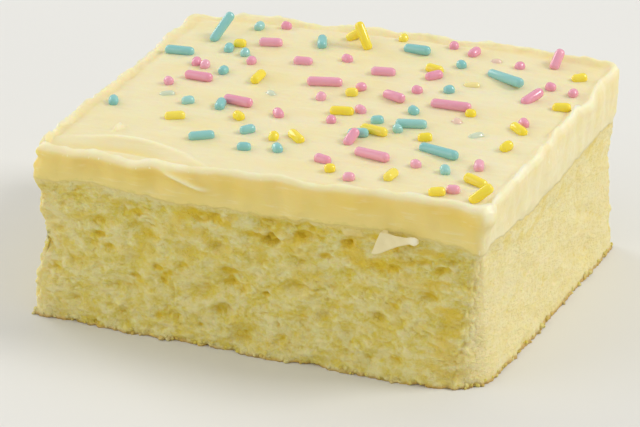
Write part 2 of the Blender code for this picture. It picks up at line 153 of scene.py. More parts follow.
# The flake of icing on the front face
FLAKE_X = 0.0280
FLAKE_HINGE = 0.0290
FLAKE_TILT = math.radians(32)
FLAKE_THICKNESS = 0.0008
FLAKE_CLEARANCE = 0.0007
FLAKE_OUTLINE = (
    (-0.0036, 0.0010), (-0.0027, 0.0010), (-0.0025, -0.0005), (-0.0015, -0.0009),
    (0.0009, -0.0010), (0.0025, -0.0006), (0.0032, -0.0009), (0.0033, -0.0016),
    (0.0027, -0.0022), (0.0017, -0.0020), (-0.0006, -0.0029), (-0.0024, -0.0039),
    (-0.0034, -0.0045), (-0.0047, -0.0047), (-0.0042, -0.0021), (-0.0038, -0.0006),
)

# Sprinkles
SPRINKLE_SEED = 11
SHORT_SPRINKLES = 74
SHORTEST_SPRINKLE = 0.0020
LONGEST_SHORT_SPRINKLE = 0.0048
SHORTNESS = 2.4
CANDIDATES = 7
PARTNER_SHARE = 0.22
PARTNER_DISTANCE = 0.0016
SPRINKLE_SPACING = 0.0021
CORE_STEPS = 4
SPRINKLE_MARGIN = 0.0035
BARE_FRONT = 0.0045
BARE_CORNER_X = 0.010
BARE_CORNER_SLOPE = 0.36
STANDING_SHARE = 0.14
STANDING_LIFTS = (20.0, 40.0)
LYING_LIFTS = (0.0, 8.0)
USUAL_SINK = 0.30
DEEP_SINK = 0.70
DEEP_SHARE = 0.08
PALEST = 0.5
SUNK_FADING = 0.62
BLUNTNESS = 0.35
COLOUR_SHARES = (("pink", 0.36), ("yellow", 0.34), ("blue", 0.30))

# Colour, place from the middle, heading and lift in degrees, length and share of the thickness sunk
Sprinkle = namedtuple("Sprinkle", "colour x y heading lift length sink")
LONG_SPRINKLES = (
    Sprinkle("blue", 0.0262, 0.0197, -28, 3, 0.0088, 0.25),
    Sprinkle("blue", 0.0265, -0.0151, -18, 2, 0.0082, 0.25),
    Sprinkle("blue", -0.0331, 0.0240, 68, 38, 0.0071, 0.30),
    Sprinkle("pink", 0.0210, 0.0052, -2, 2, 0.0078, 0.25),
    Sprinkle("pink", 0.0157, -0.0196, -13, 2, 0.0070, 0.25),
    Sprinkle("pink", -0.0050, 0.0079, 12, 1, 0.0067, 0.25),
    Sprinkle("pink", -0.0170, -0.0043, -10, 2, 0.0060, 0.25),
    Sprinkle("blue", -0.0378, 0.0149, 1, 2, 0.0059, 0.25),
    Sprinkle("pink", -0.0288, 0.0040, -8, 3, 0.0058, 0.25),
    Sprinkle("blue", 0.0172, -0.0048, 13, 1, 0.0058, 0.25),
    Sprinkle("yellow", -0.0051, 0.0270, 146, 52, 0.0059, 0.30),
    Sprinkle("yellow", 0.0120, -0.0097, -14, 2, 0.0055, 0.25),
    Sprinkle("blue", 0.0059, 0.0269, -11, 5, 0.0056, 0.30),
    Sprinkle("pink", 0.0338, 0.0130, 64, 12, 0.0052, 0.25),
    Sprinkle("pink", 0.0097, 0.0056, -26, 4, 0.0050, 0.25),
    Sprinkle("pink", -0.0222, 0.0224, 9, 2, 0.0046, 0.25),
    Sprinkle("yellow", 0.0030, -0.0030, 7, 2, 0.0045, 0.25),
)

# Detail that only the dressed slice has

# Larger pores of the front face: across, height, half width, half height and depth
FrontPore = namedtuple("FrontPore", "x z half_width half_height depth")
FRONT_PORES = (
    FrontPore(0.0010, 0.0227, 0.0017, 0.0012, 0.0036),
    FrontPore(0.0151, 0.0241, 0.0013, 0.0010, 0.0018),
    FrontPore(0.0222, 0.0210, 0.0030, 0.0013, 0.0010),
    FrontPore(-0.0321, 0.0183, 0.0013, 0.0008, 0.0014),
    FrontPore(-0.0208, 0.0138, 0.0011, 0.0008, 0.0014),
    FrontPore(-0.0195, 0.0120, 0.0008, 0.0012, 0.0012),
    FrontPore(-0.0116, 0.0252, 0.0034, 0.0012, 0.0009),
    FrontPore(-0.0029, 0.0233, 0.0018, 0.0006, 0.0012),
    FrontPore(-0.0172, 0.0210, 0.0010, 0.0006, 0.0010),
    FrontPore(-0.0327, 0.0212, 0.0016, 0.0013, 0.0009),
    FrontPore(-0.0250, 0.0236, 0.0012, 0.0008, 0.0010),
    FrontPore(0.0062, 0.0243, 0.0010, 0.0006, 0.0010),
    FrontPore(0.0110, 0.0212, 0.0016, 0.0007, 0.0009),
    FrontPore(-0.0071, 0.0127, 0.0018, 0.0005, 0.0009),
    FrontPore(-0.0070, 0.0152, 0.0022, 0.0005, 0.0008),
    FrontPore(0.0002, 0.0117, 0.0008, 0.0006, 0.0010),
    FrontPore(-0.0260, 0.0112, 0.0006, 0.0005, 0.0009),
    FrontPore(0.0330, 0.0222, 0.0016, 0.0008, 0.0009),
)
# Where icing is smeared on the front face, and where its crumb is moister
Patch = namedtuple("Patch", "x z half_width half_height")
FRONT_SMEARS = (
    Patch(0.0165, 0.0268, 0.0021, 0.0008),
    Patch(0.0369, 0.0275, 0.0012, 0.0007),
)
MOIST_PATCHES = (
    Patch(-0.0330, 0.0262, 0.0080, 0.0016),
    Patch(-0.0200, 0.0268, 0.0050, 0.0014),
    Patch(-0.0090, 0.0262, 0.0060, 0.0022),
    Patch(0.0330, 0.0235, 0.0055, 0.0035),
    Patch(0.0385, 0.0180, 0.0030, 0.0080),
    Patch(0.0200, 0.0225, 0.0060, 0.0025),
)

FRONT_FACING = -0.7
OUTER = 0.999
SAME_POINT = 0.000002


def smooth_step(value):
    """Rises smoothly from 0 to 1 while the value goes from 0 to 1."""
    share = min(1.0, max(0.0, value))
    return share * share * (3 - 2 * share)


def bump(distance, width):
    """A round bump: 1 at no distance, close to 0 at twice the width."""
    return math.exp(-((distance / width) ** 2))


def uneven(x, y, z, which):
    """Smooth noise from about -1 to 1 at a place counted in wave lengths, in one of its stretches."""
    return noise.noise(Vector((x, y, z + NOISE_STEP * which)))


def between_corners(values, x, y):
    """A value given at the four corners, at the plan place (x, y)."""
    right = 0.5 + x / SLICE_WIDTH
    back = 0.5 + y / SLICE_DEPTH
    weights = ((1 - right) * (1 - back), right * (1 - back), right * back, (1 - right) * back)
    return sum(weight * value for weight, value in zip(weights, values))


def bent(x, y, z):
    """The plain rectangle's point (x, y, z), bent to the slice's own corners."""
    rise = z / ICING_HEIGHT
    new_x = (1 - rise) * between_corners(FOOT_X, x, y) + rise * between_corners(TOP_X, x, y)
    new_y = (1 - rise) * between_corners(FOOT_Y, x, y) + rise * between_corners(TOP_Y, x, y)
    return Vector((new_x, new_y, z))


def corner_radius(x, y, z):
    """Radius of the upright corners, larger low down at the front right."""
    front_right = between_corners((0.0, 1.0, 0.0, 0.0), x, y)
    return CORNER_RADIUS + BROAD_CORNER_EXTRA * front_right * max(0.0, 1 - z / ICING_HEIGHT)


def past_corner_centre(x, y, radius):
    """How far a place lies beyond the centres of the corner arcs, along X and along Y."""
    return abs(x) - SLICE_WIDTH / 2 + radius, abs(y) - SLICE_DEPTH / 2 + radius


def rounded_plan(x, y, radius):
    """Draws the squares round a corner onto arcs, so that the rectangle gets round corners."""
    over_x, over_y = past_corner_centre(x, y, radius)
    if over_x <= 0 or over_y <= 0:
        return x, y
    shrink = max(over_x, over_y) / math.hypot(over_x, over_y)
    new_x = math.copysign(SLICE_WIDTH / 2 - radius + over_x * shrink, x)
    new_y = math.copysign(SLICE_DEPTH / 2 - radius + over_y * shrink, y)
    return new_x, new_y


def inward_and_out(x, y, radius):
    """Distance in from the rounded outline, and the direction straight out of it."""
    over_x, over_y = past_corner_centre(x, y, radius)
    if over_x > 0 and over_y > 0:
        out = Vector((math.copysign(over_x, x), math.copysign(over_y, y), 0))
        inward = radius - out.length
        return inward, out.normalized()
    if over_x > over_y:
        return radius - over_x, Vector((math.copysign(1, x), 0, 0))
    return radius - over_y, Vector((0, math.copysign(1, y), 0))


def from_front_corner(x, y, side):
    """Distance in plan from a front corner: side is -1 for the left one and 1 for the right one."""
    return math.hypot(side * SLICE_WIDTH / 2 - x, y + SLICE_DEPTH / 2)


def border_height(x, y):
    """Height of the line between sponge and icing along the outline."""
    wave = BORDER_WAVE * uneven(x / BORDER_LENGTH, y / BORDER_LENGTH, 0, BORDER_NOISE)
    to_right = smooth_step((x - RIGHT_DRAG_START) / (SLICE_WIDTH / 2 - RIGHT_DRAG_START))
    past_front = smooth_step((y + SLICE_DEPTH / 2) / RIGHT_DRAG_RUN)
    dragged = RIGHT_DRAG * to_right * past_front
    dragged += CORNER_DRAG * bump(from_front_corner(x, y, 1), CORNER_DRAG_REACH)
    return LAYER_HEIGHT + wave - dragged


def left_corner_depth(x, y, z):
    """How far the front left corner lies further in than the cut faces beside it."""
    bulge = BULGE_DEPTH * bump(z - BULGE_HEIGHT, BULGE_REACH)
    dent = DENT_DEPTH * bump(z - DENT_HEIGHT, DENT_REACH)
    lean = LEAN_DEPTH * smooth_step((z - LEAN_START) / LEAN_RUN)
    return (dent + lean - bulge) * bump(from_front_corner(x, y, -1), CORNER_REACH)


def face_depth(x, y, z):
    """How far the knife's cut lies in from the plain face, the same for both layers."""
    waist = WAIST_DEPTH * math.sin(math.pi * min(1.0, z / ICING_HEIGHT))
    wave = uneven(x / UNEVEN_LENGTH, y / UNEVEN_LENGTH, z / UNEVEN_LENGTH, FACE_NOISE)
    return waist + UNEVEN_DEPTH * (0.5 + 0.5 * wave) + left_corner_depth(x, y, z)


def crumb_depth(x, y, z, out):
    """How far the torn crumb lies in from the cut, and how open it is: lumps and the larger pores."""
    place = Vector((x / PORE_WIDENING, y / PORE_WIDENING, z))
    lumps = uneven(*(place / LUMP_LENGTH), LUMP_NOISE)
    distances, centres = noise.voronoi(place / PORE_SPACING)
    size = PORE_SIZE * (1 - PORE_SIZE_SPREAD * noise.cell(centres[0]))
    pore = smooth_step(1 - distances[0] / size)
    calm = 1 - RIGHT_FACE_CALM * max(0.0, out.x)
    return calm * (LUMP_DEPTH * lumps + PORE_DEPTH * pore), calm * (0.25 * lumps + 0.6 * pore)


def ridge_line(x):
    """Place of the curved ridge at the front left, and how strongly it shows there."""
    along = x - RIDGE_PEAK_X
    return RIDGE_PEAK_Y - RIDGE_CURVE * along * along, bump(along, RIDGE_HALF_LENGTH)


def icing_top(x, y):
    """Height of the spread icing: its crown, knife strokes, lips and front ridge."""
    back = 0.5 + y / SLICE_DEPTH
    across = x / (SLICE_WIDTH / 2)
    height = between_corners(CORNER_HEIGHTS, x, y)
    crown = smooth_step((back - CROWN_START) / (1 - CROWN_START)) * (1 - across * across)
    height += BACK_CROWN * crown
    height += SWIPE_DEPTH * uneven(x / SWIPE_LENGTH, y / SWIPE_WIDTH, 0, SWIPE_NOISE)
    inward, _ = inward_and_out(x, y, CORNER_RADIUS)
    wave = LIP_WAVE * uneven(x / LIP_WAVE_LENGTH, y / LIP_WAVE_LENGTH, 0, LIP_NOISE)
    height += (LIP_HEIGHT + wave) * bump(inward - RIM_RADIUS / 2, LIP_WIDTH)
    ridge_y, strength = ridge_line(x)
    height += RIDGE_HEIGHT * strength * bump(y - ridge_y, RIDGE_WIDTH)
    height -= HOLLOW_DEPTH * strength * bump(y - ridge_y + HOLLOW_OFFSET, RIDGE_WIDTH)
    return height


def fold_place(x, y):
    """How far along the fold a place is, from 0 to 1, and the fold's height there."""
    run = smooth_step((x - FOLD_START_X) / (FOLD_END_X - FOLD_START_X))
    return run, icing_top(x, y) - RIM_RADIUS / 2 - FOLD_DROP * run


def icing_push(x, y, z, out):
    """How far the icing's side bulges out: smears, a wandering edge, the fold and the corner curl."""
    smears = SMEAR_DEPTH * uneven(x / SMEAR_WIDTH, y / SMEAR_WIDTH, z / SMEAR_LENGTH, SMEAR_NOISE)
    rise = smooth_step((z - LAYER_HEIGHT) / (ICING_HEIGHT - LAYER_HEIGHT))
    wander = EDGE_WANDER * rise * uneven(x / EDGE_WANDER_LENGTH, y / EDGE_WANDER_LENGTH, 0, EDGE_NOISE)
    push = smears + wander
    if out.y < FRONT_FACING:
        run, fold_z = fold_place(x, y)
        strength = smooth_step((1 - run) / FOLD_FADE)
        push += FOLD_HEIGHT * strength * bump(z - fold_z, FOLD_WIDTH)
    corner = from_front_corner(x, y, 1)
    push += CURL_DEPTH * bump(math.hypot(corner - CORNER_RADIUS / 2, z - CURL_HEIGHT), CURL_REACH)
    return push


# Fine crumb of the sponge
PORE_SHOWN = 0.55
RAG_LENGTH = 0.0011
RAG_DEPTH = 0.00045
MID_PORE_SPACING = 0.0030
MID_PORE_DEPTH = 0.0006
MID_PORE_SHARE = 0.38
PIT_SPACING = 0.0014
PIT_DEPTH = 0.00034
PIT_SHARE = 0.55
PIT_SHIFT = Vector((0, 0, 0.37))
PORE_DRAW = 3.7
PORE_SIZE_DRAW = 5.1
LEAST_PORE_SIZE = 0.28
MORE_PORE_SIZE = 0.24
PORE_RAG_LENGTH = 0.0016
PORE_RAG_HEIGHT = 0.0011
FINE_RAG_LENGTH = 0.0007
FINE_RAG_HEIGHT = 0.0006
OPEN_PORE_DEPTH = 0.0014
UPPER_START = 0.008
UPPER_RUN = 0.012
CLOT_LENGTH = 0.0017
CLOT_DEPTH = 0.00024
GRIT_LENGTH = 0.0010
GRIT_DEPTH = 0.00024
CREASE_LENGTH = 0.0016
CREASE_DEPTH = 0.00032
CREASE_WIDTH = 0.26
SMALL_CREASE_LENGTH = 0.0009
SMALL_CREASE_DEPTH = 0.00016
TUFT_LENGTH = 0.0012
TUFT_HEIGHT = 0.0007
TUFT_START = 0.22
CALM_FACING = 0.65
FINE_CALM = 0.80
CALM_RUN = 0.0030

# Moister and paler parts of the crumb, painted light where the lights fall on its faces and corners, the
# worn right corner and its painted glow
MOIST_RUN = 0.014
MOIST_RAG_LENGTH = 0.0040
MOIST_RAG_HEIGHT = 0.0025
LIT_CORNER_REACH = 0.0060
PALE_FOOT_REACH = 0.0075
PALE_FOOT_HEIGHT = 0.0120
PALE_LEFT_X = -0.0100
PALE_LEFT_Z = 0.0120
PALE_LEFT_RUN = 0.0100
WORN_CORNER_DEPTH = 0.0013
WORN_CORNER_REACH = 0.0065
# Painted glow near the front right corner
CORNER_GLOW = 0.55
CORNER_GLOW_PLACE = 0.0080
CORNER_GLOW_REACH = 0.0035

# Crust
CRUST_HEIGHT = 0.0007
CRUST_WAVE_LENGTH = 0.006
CRUST_BLEND = 0.0006
CRUST_TEETH = 0.0005
CRUST_TEETH_LENGTH = 0.0011
CRUST_LIFT = 0.0004

# Where the two layers meet
BLEND_LENGTH = 0.0013
BLEND_HEIGHT = 0.0010
SMEAR_LIFT = 0.0004
SMEAR_RAG_LENGTH = 0.0012
SMEAR_RAG_HEIGHT = 0.0008
BORDER_MOISTURE = 0.45
BORDER_MOISTURE_DROP = 0.0008
BORDER_MOISTURE_REACH = 0.0040
FINE_BORDER_WAVE = 0.0006
FINE_BORDER_LENGTH = 0.0022
LAYER_LAP = 0.00025
SOFT_FADE = 0.0022
FLAT_END_FACING = 0.9
TAPER_HEIGHT = 0.0020
EDGE_STEP = 0.1
ICING_ROWS = 26

# Fine relief of the icing
EDGE_RADIUS = 0.0008
CREST_HEIGHT = 0.00055
CREST_WIDTH = 0.00038
CREST_PLACE = 0.0008
LIP_SWELL_LENGTH = 0.0045
LIP_KINK_LENGTH = 0.0017
# Painted highlight along the lips and down the corner curl
BRIGHT_LIP_PLACE = 0.0006
BRIGHT_LIP_WIDTH = 0.00048
BRIGHT_CURL_DROP = 0.0026
BEHIND_CREST = 0.00030
# Painted shade behind the lip's crest, and in patches under the lip that are paler towards the left
BEHIND_PLACE = 0.0023
BEHIND_WIDTH = 0.0011
BEHIND_SHADE = 0.32
SHADE_LENGTH = 0.0075
SHADE_SLANT = 0.0050
SHADE_HEIGHT = 0.0040
PALE_BAND_X = -0.018
PALE_BAND_RUN = 0.016
UNDER_LIP_DROP = 0.0026
UNDER_LIP_WIDTH = 0.0020
SIDE_DROP = 0.0002
SIDE_FADE = 0.0010
FINE_RIDGE_HEIGHT = 0.00045
FINE_RIDGE_WIDTH = 0.0005
FINE_RIDGE_START = -0.038
FINE_RIDGE_RUN = 0.008
FOLD_RISE = 0.2
FINE_FOLD_HEIGHT = 0.00045
FINE_FOLD_WIDTH = 0.00045
STREAK_DEPTH = 0.00008
STREAK_LENGTH = 0.018
STREAK_WIDTH = 0.0012
DAB_DEPTH = 0.00016
DAB_LENGTH = 0.0042
DAB_STRETCH = 1.8
DRAG_DEPTH = 0.00012
DRAG_MARKS = ((0.0060, 0.0012), (0.0012, 0.0030))
JAG_LENGTH = 0.0014
JAG_DEPTH = 0.0006
TONGUE_REACH = 0.0027
TONGUE_DROP = 0.0019
TONGUE_HALF_HEIGHT = 0.0022
TONGUE_DEPTH = 0.00035
BURR_PLACE = Vector((-0.0325, -0.0221))
BURR_ALONG = Vector((0.25, 0.97))
BURR_HALF_LENGTH = 0.0013
BURR_WIDTH = 0.00042
BURR_HEIGHT = 0.0014

# Fine form of the flake
FLAKE_CELL = 0.00013
FLAKE_BEAD = Vector((0.0027, -0.0014))
FLAKE_BEAD_SIZE = 0.0011
FLAKE_BOW = 0.0003
FLAKE_ROOT = -0.0008
FLAKE_SHADE = 0.45

# Loose crumbs
CRUMB_SEED = 5
CRUMB_LEVEL = 0.04
CRUMB_NOISE_SPREAD = 50
CRUMB_RAGGEDNESS = 0.55
CRUMB_REST = 0.7

# Stage
LIGHT_TARGET = Vector((0, 0, 0.02))
FLOOR_RADIUS = 4.0
CAMERA_PLACE = (0.17833, -0.48238, 0.24117)
CAMERA_RIGHT = Vector((0.93491, 0.35474, 0.00963))
CAMERA_UP = Vector((-0.15169, 0.37494, 0.91455))
CAMERA_BACK = Vector((0.32082, -0.85649, 0.40435))
CAMERA_SENSOR = 36.0
CAMERA_LENS = 168.75
CAMERA_NEAREST = 0.01


def crease(place):
    """1 in the short creases between rounded clots, falling to 0 on the clots."""
    broken = smooth_step(0.45 + 1.8 * uneven(*(place / 2.3), PATCH_NOISE))
    return broken * smooth_step(1 - abs(uneven(*place, GRAIN_NOISE)) / CREASE_WIDTH)


def scattered_pore(place, spacing, share):
    """Pores in a share of the cells: how open one is at a place."""
    distances, centres = noise.voronoi(place / spacing)
    centre = centres[0]
    if noise.cell(centre * PORE_DRAW) > share:
        return 0.0
    size = LEAST_PORE_SIZE + MORE_PORE_SIZE * noise.cell(centre * PORE_SIZE_DRAW)
    return smooth_step(1 - distances[0] / size)


def fine_crumb(x, y, z, out):
    """The crumb's finer relief over the solids' own, and how open it is."""
    place = Vector((x / PORE_WIDENING, y / PORE_WIDENING, z))
    rags = [uneven(*(place / RAG_LENGTH), which) for which in (LIP_NOISE, SMEAR_NOISE, EDGE_NOISE)]
    ragged = place + RAG_DEPTH * Vector(rags)
    inner = smooth_step((SLICE_DEPTH / 2 - y) / CALM_RUN - 0.5)
    rough = 1 - FINE_CALM * inner * smooth_step((out.x - CALM_FACING) / (1 - CALM_FACING))
    upper = 0.5 + 0.5 * smooth_step((z - UPPER_START) / UPPER_RUN)
    pore = scattered_pore(ragged, MID_PORE_SPACING, MID_PORE_SHARE * upper)
    pit = scattered_pore(ragged + PIT_SHIFT, PIT_SPACING, PIT_SHARE)
    clots = uneven(*(ragged / CLOT_LENGTH), CLOT_NOISE)
    creases = crease(ragged / CREASE_LENGTH)
    small = crease(place / SMALL_CREASE_LENGTH)
    tuft = max(0.0, uneven(*(place / TUFT_LENGTH), LUMP_NOISE) - TUFT_START)
    depth = MID_PORE_DEPTH * pore + PIT_DEPTH * pit - CLOT_DEPTH * clots
    depth += CREASE_DEPTH * creases + SMALL_CREASE_DEPTH * small
    depth += GRIT_DEPTH * (1 + max(0.0, -out.x)) * uneven(*(place / GRIT_LENGTH), DRAG_NOISE)
    # How open it is sets the painted shade in pores and creases and the painted light on clots and tufts
    openness = 0.75 * pore + 0.35 * pit - 0.35 * clots + 0.5 * creases + 0.3 * small - 0.4 * tuft - 0.15
    return rough * (depth - TUFT_HEIGHT * tuft), (0.35 + 0.65 * rough) * openness


def front_pores(x, z):
    """Depth of the front face's own larger pores at a place, and how open they are."""
    depth = 0.0
    openness = 0.0
    ragged = 0.30 * uneven(x / PORE_RAG_LENGTH, 0, z / PORE_RAG_HEIGHT, CLOT_NOISE)
    ragged += 0.22 * uneven(x / FINE_RAG_LENGTH, 0, z / FINE_RAG_HEIGHT, GRAIN_NOISE)
    for pore in FRONT_PORES:
        reach = math.hypot((x - pore.x) / pore.half_width, (z - pore.z) / pore.half_height) + ragged
        inside = smooth_step((1.30 - reach) / 0.8)
        depth = max(depth, PORE_SHOWN * pore.depth * inside)
        openness = max(openness, inside * min(1.0, pore.depth / OPEN_PORE_DEPTH))
    return depth, openness


def in_patches(patches, x, z, reach, softness):
    """How far inside any of some soft patches on the front face a place is, from 0 to 1."""
    reaches = [math.hypot((x - patch.x) / patch.half_width, (z - patch.z) / patch.half_height)
               for patch in patches]
    return smooth_step((reach - min(reaches)) / softness)


def front_smears(x, z):
    """How thickly icing is smeared over the front face's crumb at a place."""
    ragged = 0.35 * uneven(x / SMEAR_RAG_LENGTH, 0, z / SMEAR_RAG_HEIGHT, CLOT_NOISE)
    return in_patches(FRONT_SMEARS, x, z, 1.2 - ragged, 0.5)


def moist_patches(x, z):
    """How moist and deep in colour the front face's crumb is at a place."""
    ragged = 0.5 * uneven(x / MOIST_RAG_LENGTH, 0, z / MOIST_RAG_HEIGHT, CLOT_NOISE)
    return in_patches(MOIST_PATCHES, x, z, 1.3 - ragged, 0.9)


def fine_border(x, y):
    """Height of the line between sponge and icing, with the small waves of the smeared edge."""
    wave = uneven(x / FINE_BORDER_LENGTH, y / FINE_BORDER_LENGTH, 0, BORDER_NOISE)
    return border_height(x, y) + FINE_BORDER_WAVE * wave


def fold_crest(x, y, z, out):
    """How much of the fold's crest a place on the icing's front side is."""
    if out.y > FRONT_FACING:
        return 0.0
    run, fold_z = fold_place(x, y)
    strength = smooth_step(run / FOLD_RISE) * smooth_step((1 - run) / FOLD_FADE)
    return strength * bump(z - fold_z, FINE_FOLD_WIDTH)


def lip_strength(x, y):
    """How strongly the lip stands up along the rim, with small kinks."""
    long_waves = uneven(x / LIP_SWELL_LENGTH, y / LIP_SWELL_LENGTH, 0, LIP_NOISE)
    kinks = uneven(x / LIP_KINK_LENGTH, y / LIP_KINK_LENGTH, 0, DRAG_NOISE)
    return 0.8 + 0.7 * long_waves + 0.5 * kinks


def burr(x, y):
    """How high the small standing wisp of icing is at a place, from 0 to 1."""
    here = Vector((x, y)) - BURR_PLACE
    across = here.x * BURR_ALONG.y - here.y * BURR_ALONG.x
    return bump(here.dot(BURR_ALONG), BURR_HALF_LENGTH) * bump(across, BURR_WIDTH)


def fine_ridge(x, y):
    """How much of the curved ridge's crest a place on the icing's top is."""
    ridge_y, strength = ridge_line(x)
    rise = smooth_step((x - FINE_RIDGE_START) / FINE_RIDGE_RUN)
    return strength * rise * bump(y - ridge_y, FINE_RIDGE_WIDTH)


def painted_highlight(x, y, z, out, inward, below):
    """How much painted highlight a place on the icing gets, along the bright crests of the lips, ridge,
    fold and burr and down the corner curl.
    """
    on_top = smooth_step(1 - below / EDGE_RADIUS)
    lip = lip_strength(x, y) * bump(inward - BRIGHT_LIP_PLACE, BRIGHT_LIP_WIDTH)
    diagonal = smooth_step((min(out.x, -out.y) - 0.3) / 0.3) * smooth_step(1.4 - below / BRIGHT_CURL_DROP)
    return max(on_top * lip, on_top * fine_ridge(x, y), 0.8 * fold_crest(x, y, z, out), burr(x, y),
               0.8 * diagonal)


def hollow_shade(x, y, z, top, from_edge):
    """How much painted shade the icing gets: in the hollow before the ridge, in patches under the lips on
    the side, and behind the lips on the top.
    """
    ridge_y, strength = ridge_line(x)
    hollow = strength * bump(y - ridge_y + HOLLOW_OFFSET, 0.8 * RIDGE_WIDTH)
    slanted = x / SHADE_LENGTH + z / SHADE_SLANT
    patch = 0.55 + 0.9 * uneven(slanted, y / SHADE_LENGTH, z / SHADE_HEIGHT, SMEAR_NOISE)
    patch *= 1 - 0.45 * smooth_step((PALE_BAND_X - x) / PALE_BAND_RUN)
    under = bump(top - z - UNDER_LIP_DROP, UNDER_LIP_WIDTH) * patch
    behind = BEHIND_SHADE * bump(from_edge - BEHIND_PLACE, BEHIND_WIDTH)
    return min(1.0, max(0.0, 0.75 * hollow, under, behind))


def fine_top(x, y):
    """Height of the icing with its crisp crests, knife streaks and the small burr."""
    height = icing_top(x, y)
    inward, _ = inward_and_out(x, y, CORNER_RADIUS)
    strong = lip_strength(x, y)
    height += CREST_HEIGHT * strong * bump(inward - CREST_PLACE, CREST_WIDTH)
    height -= BEHIND_CREST * strong * bump(inward - 3 * CREST_PLACE, 2 * CREST_WIDTH)
    height += FINE_RIDGE_HEIGHT * fine_ridge(x, y)
    height += STREAK_DEPTH * uneven(x / STREAK_LENGTH, y / STREAK_WIDTH, 0, STREAK_NOISE)
    height += DAB_DEPTH * uneven(x / DAB_LENGTH / DAB_STRETCH, y / DAB_LENGTH, 0, PATCH_NOISE)
    return height + BURR_HEIGHT * burr(x, y)


def fine_push(x, y, z, out, top):
    """The icing side's finer relief: the fold's crest, the corner's tongue and the drag marks."""
    push = FINE_FOLD_HEIGHT * fold_crest(x, y, z, out)
    unseen = max(0.0, -out.x, out.y)
    place = Vector((x, y, z)) / JAG_LENGTH
    push += JAG_DEPTH * unseen * (uneven(*place, GRAIN_NOISE) + 0.5 * uneven(*(place / 2), CLOT_NOISE))
    if out.x > -FRONT_FACING:
        for length, height in DRAG_MARKS:
            push += DRAG_DEPTH * uneven(0, y / length, z / height, DRAG_NOISE)
    corner = from_front_corner(x, y, 1)
    reach = math.hypot(corner / TONGUE_REACH, (z - top + TONGUE_DROP) / TONGUE_HALF_HEIGHT)
    return push + TONGUE_DEPTH * smooth_step((1.15 - reach) / 0.45)


def mesh_from(name, shape):
    """A mesh made from a finished shape, which is then let go."""
    data = bpy.data.meshes.new(name)
    shape.to_mesh(data)
    shape.free()
    return data


def add_part(heap, shape):
    """Adds a finished shape to a heap of them, and says how many points it has."""
    part = mesh_from("one_part", shape)
    heap.from_mesh(part)
    points = len(part.vertices)
    bpy.data.meshes.remove(part)
    return points


def divided_box(name, cells_across, cells_back, rows, plain_ends):
    """A cube of half size 1 with divided walls. A plain end, -1 or 1 along Z, is one face in a ring."""
    mesh = bmesh.new()
    bmesh.ops.create_cube(mesh, size=2.0)
    ends = [face for face in mesh.faces if round(face.normal.z) in plain_ends]
    bmesh.ops.delete(mesh, geom=ends, context="FACES_ONLY")
    for axis, cells in enumerate((cells_across, cells_back, rows)):
        edges = [edge for edge in mesh.edges
                 if abs(edge.verts[0].co[axis] - edge.verts[1].co[axis]) > 1]
        bmesh.ops.subdivide_edges(mesh, edges=edges, cuts=cells - 1)
    closed = bmesh.ops.holes_fill(mesh, edges=mesh.edges[:], sides=0)["faces"]
    for face in closed:
        bmesh.ops.extrude_discrete_faces(mesh, faces=[face])
    middles = [face for face in mesh.faces if len(face.verts) > 4]
    for middle in middles:
        bmesh.ops.scale(mesh, vec=(RING_SHARE, RING_SHARE, 1), verts=middle.verts[:])
    bmesh.ops.recalc_face_normals(mesh, faces=mesh.faces[:])
    return mesh_from(name, mesh)


def layer_mesh(name, cell, rows, plain_ends):
    """A divided cube with cells of one width round the slice."""
    return divided_box(name, round(SLICE_WIDTH / cell), round(SLICE_DEPTH / cell), rows, plain_ends)


CRUMB_VALUES = ("openness", "crust", "smeared", "moist_and_glow", "lit_paleness", "soft")
ICING_VALUES = ("side", "soft", "painted_highlight", "shade")


def on_wall(point):
    """Whether a point of the divided cube belongs to its four walls."""
    return max(abs(point.x), abs(point.y)) > OUTER


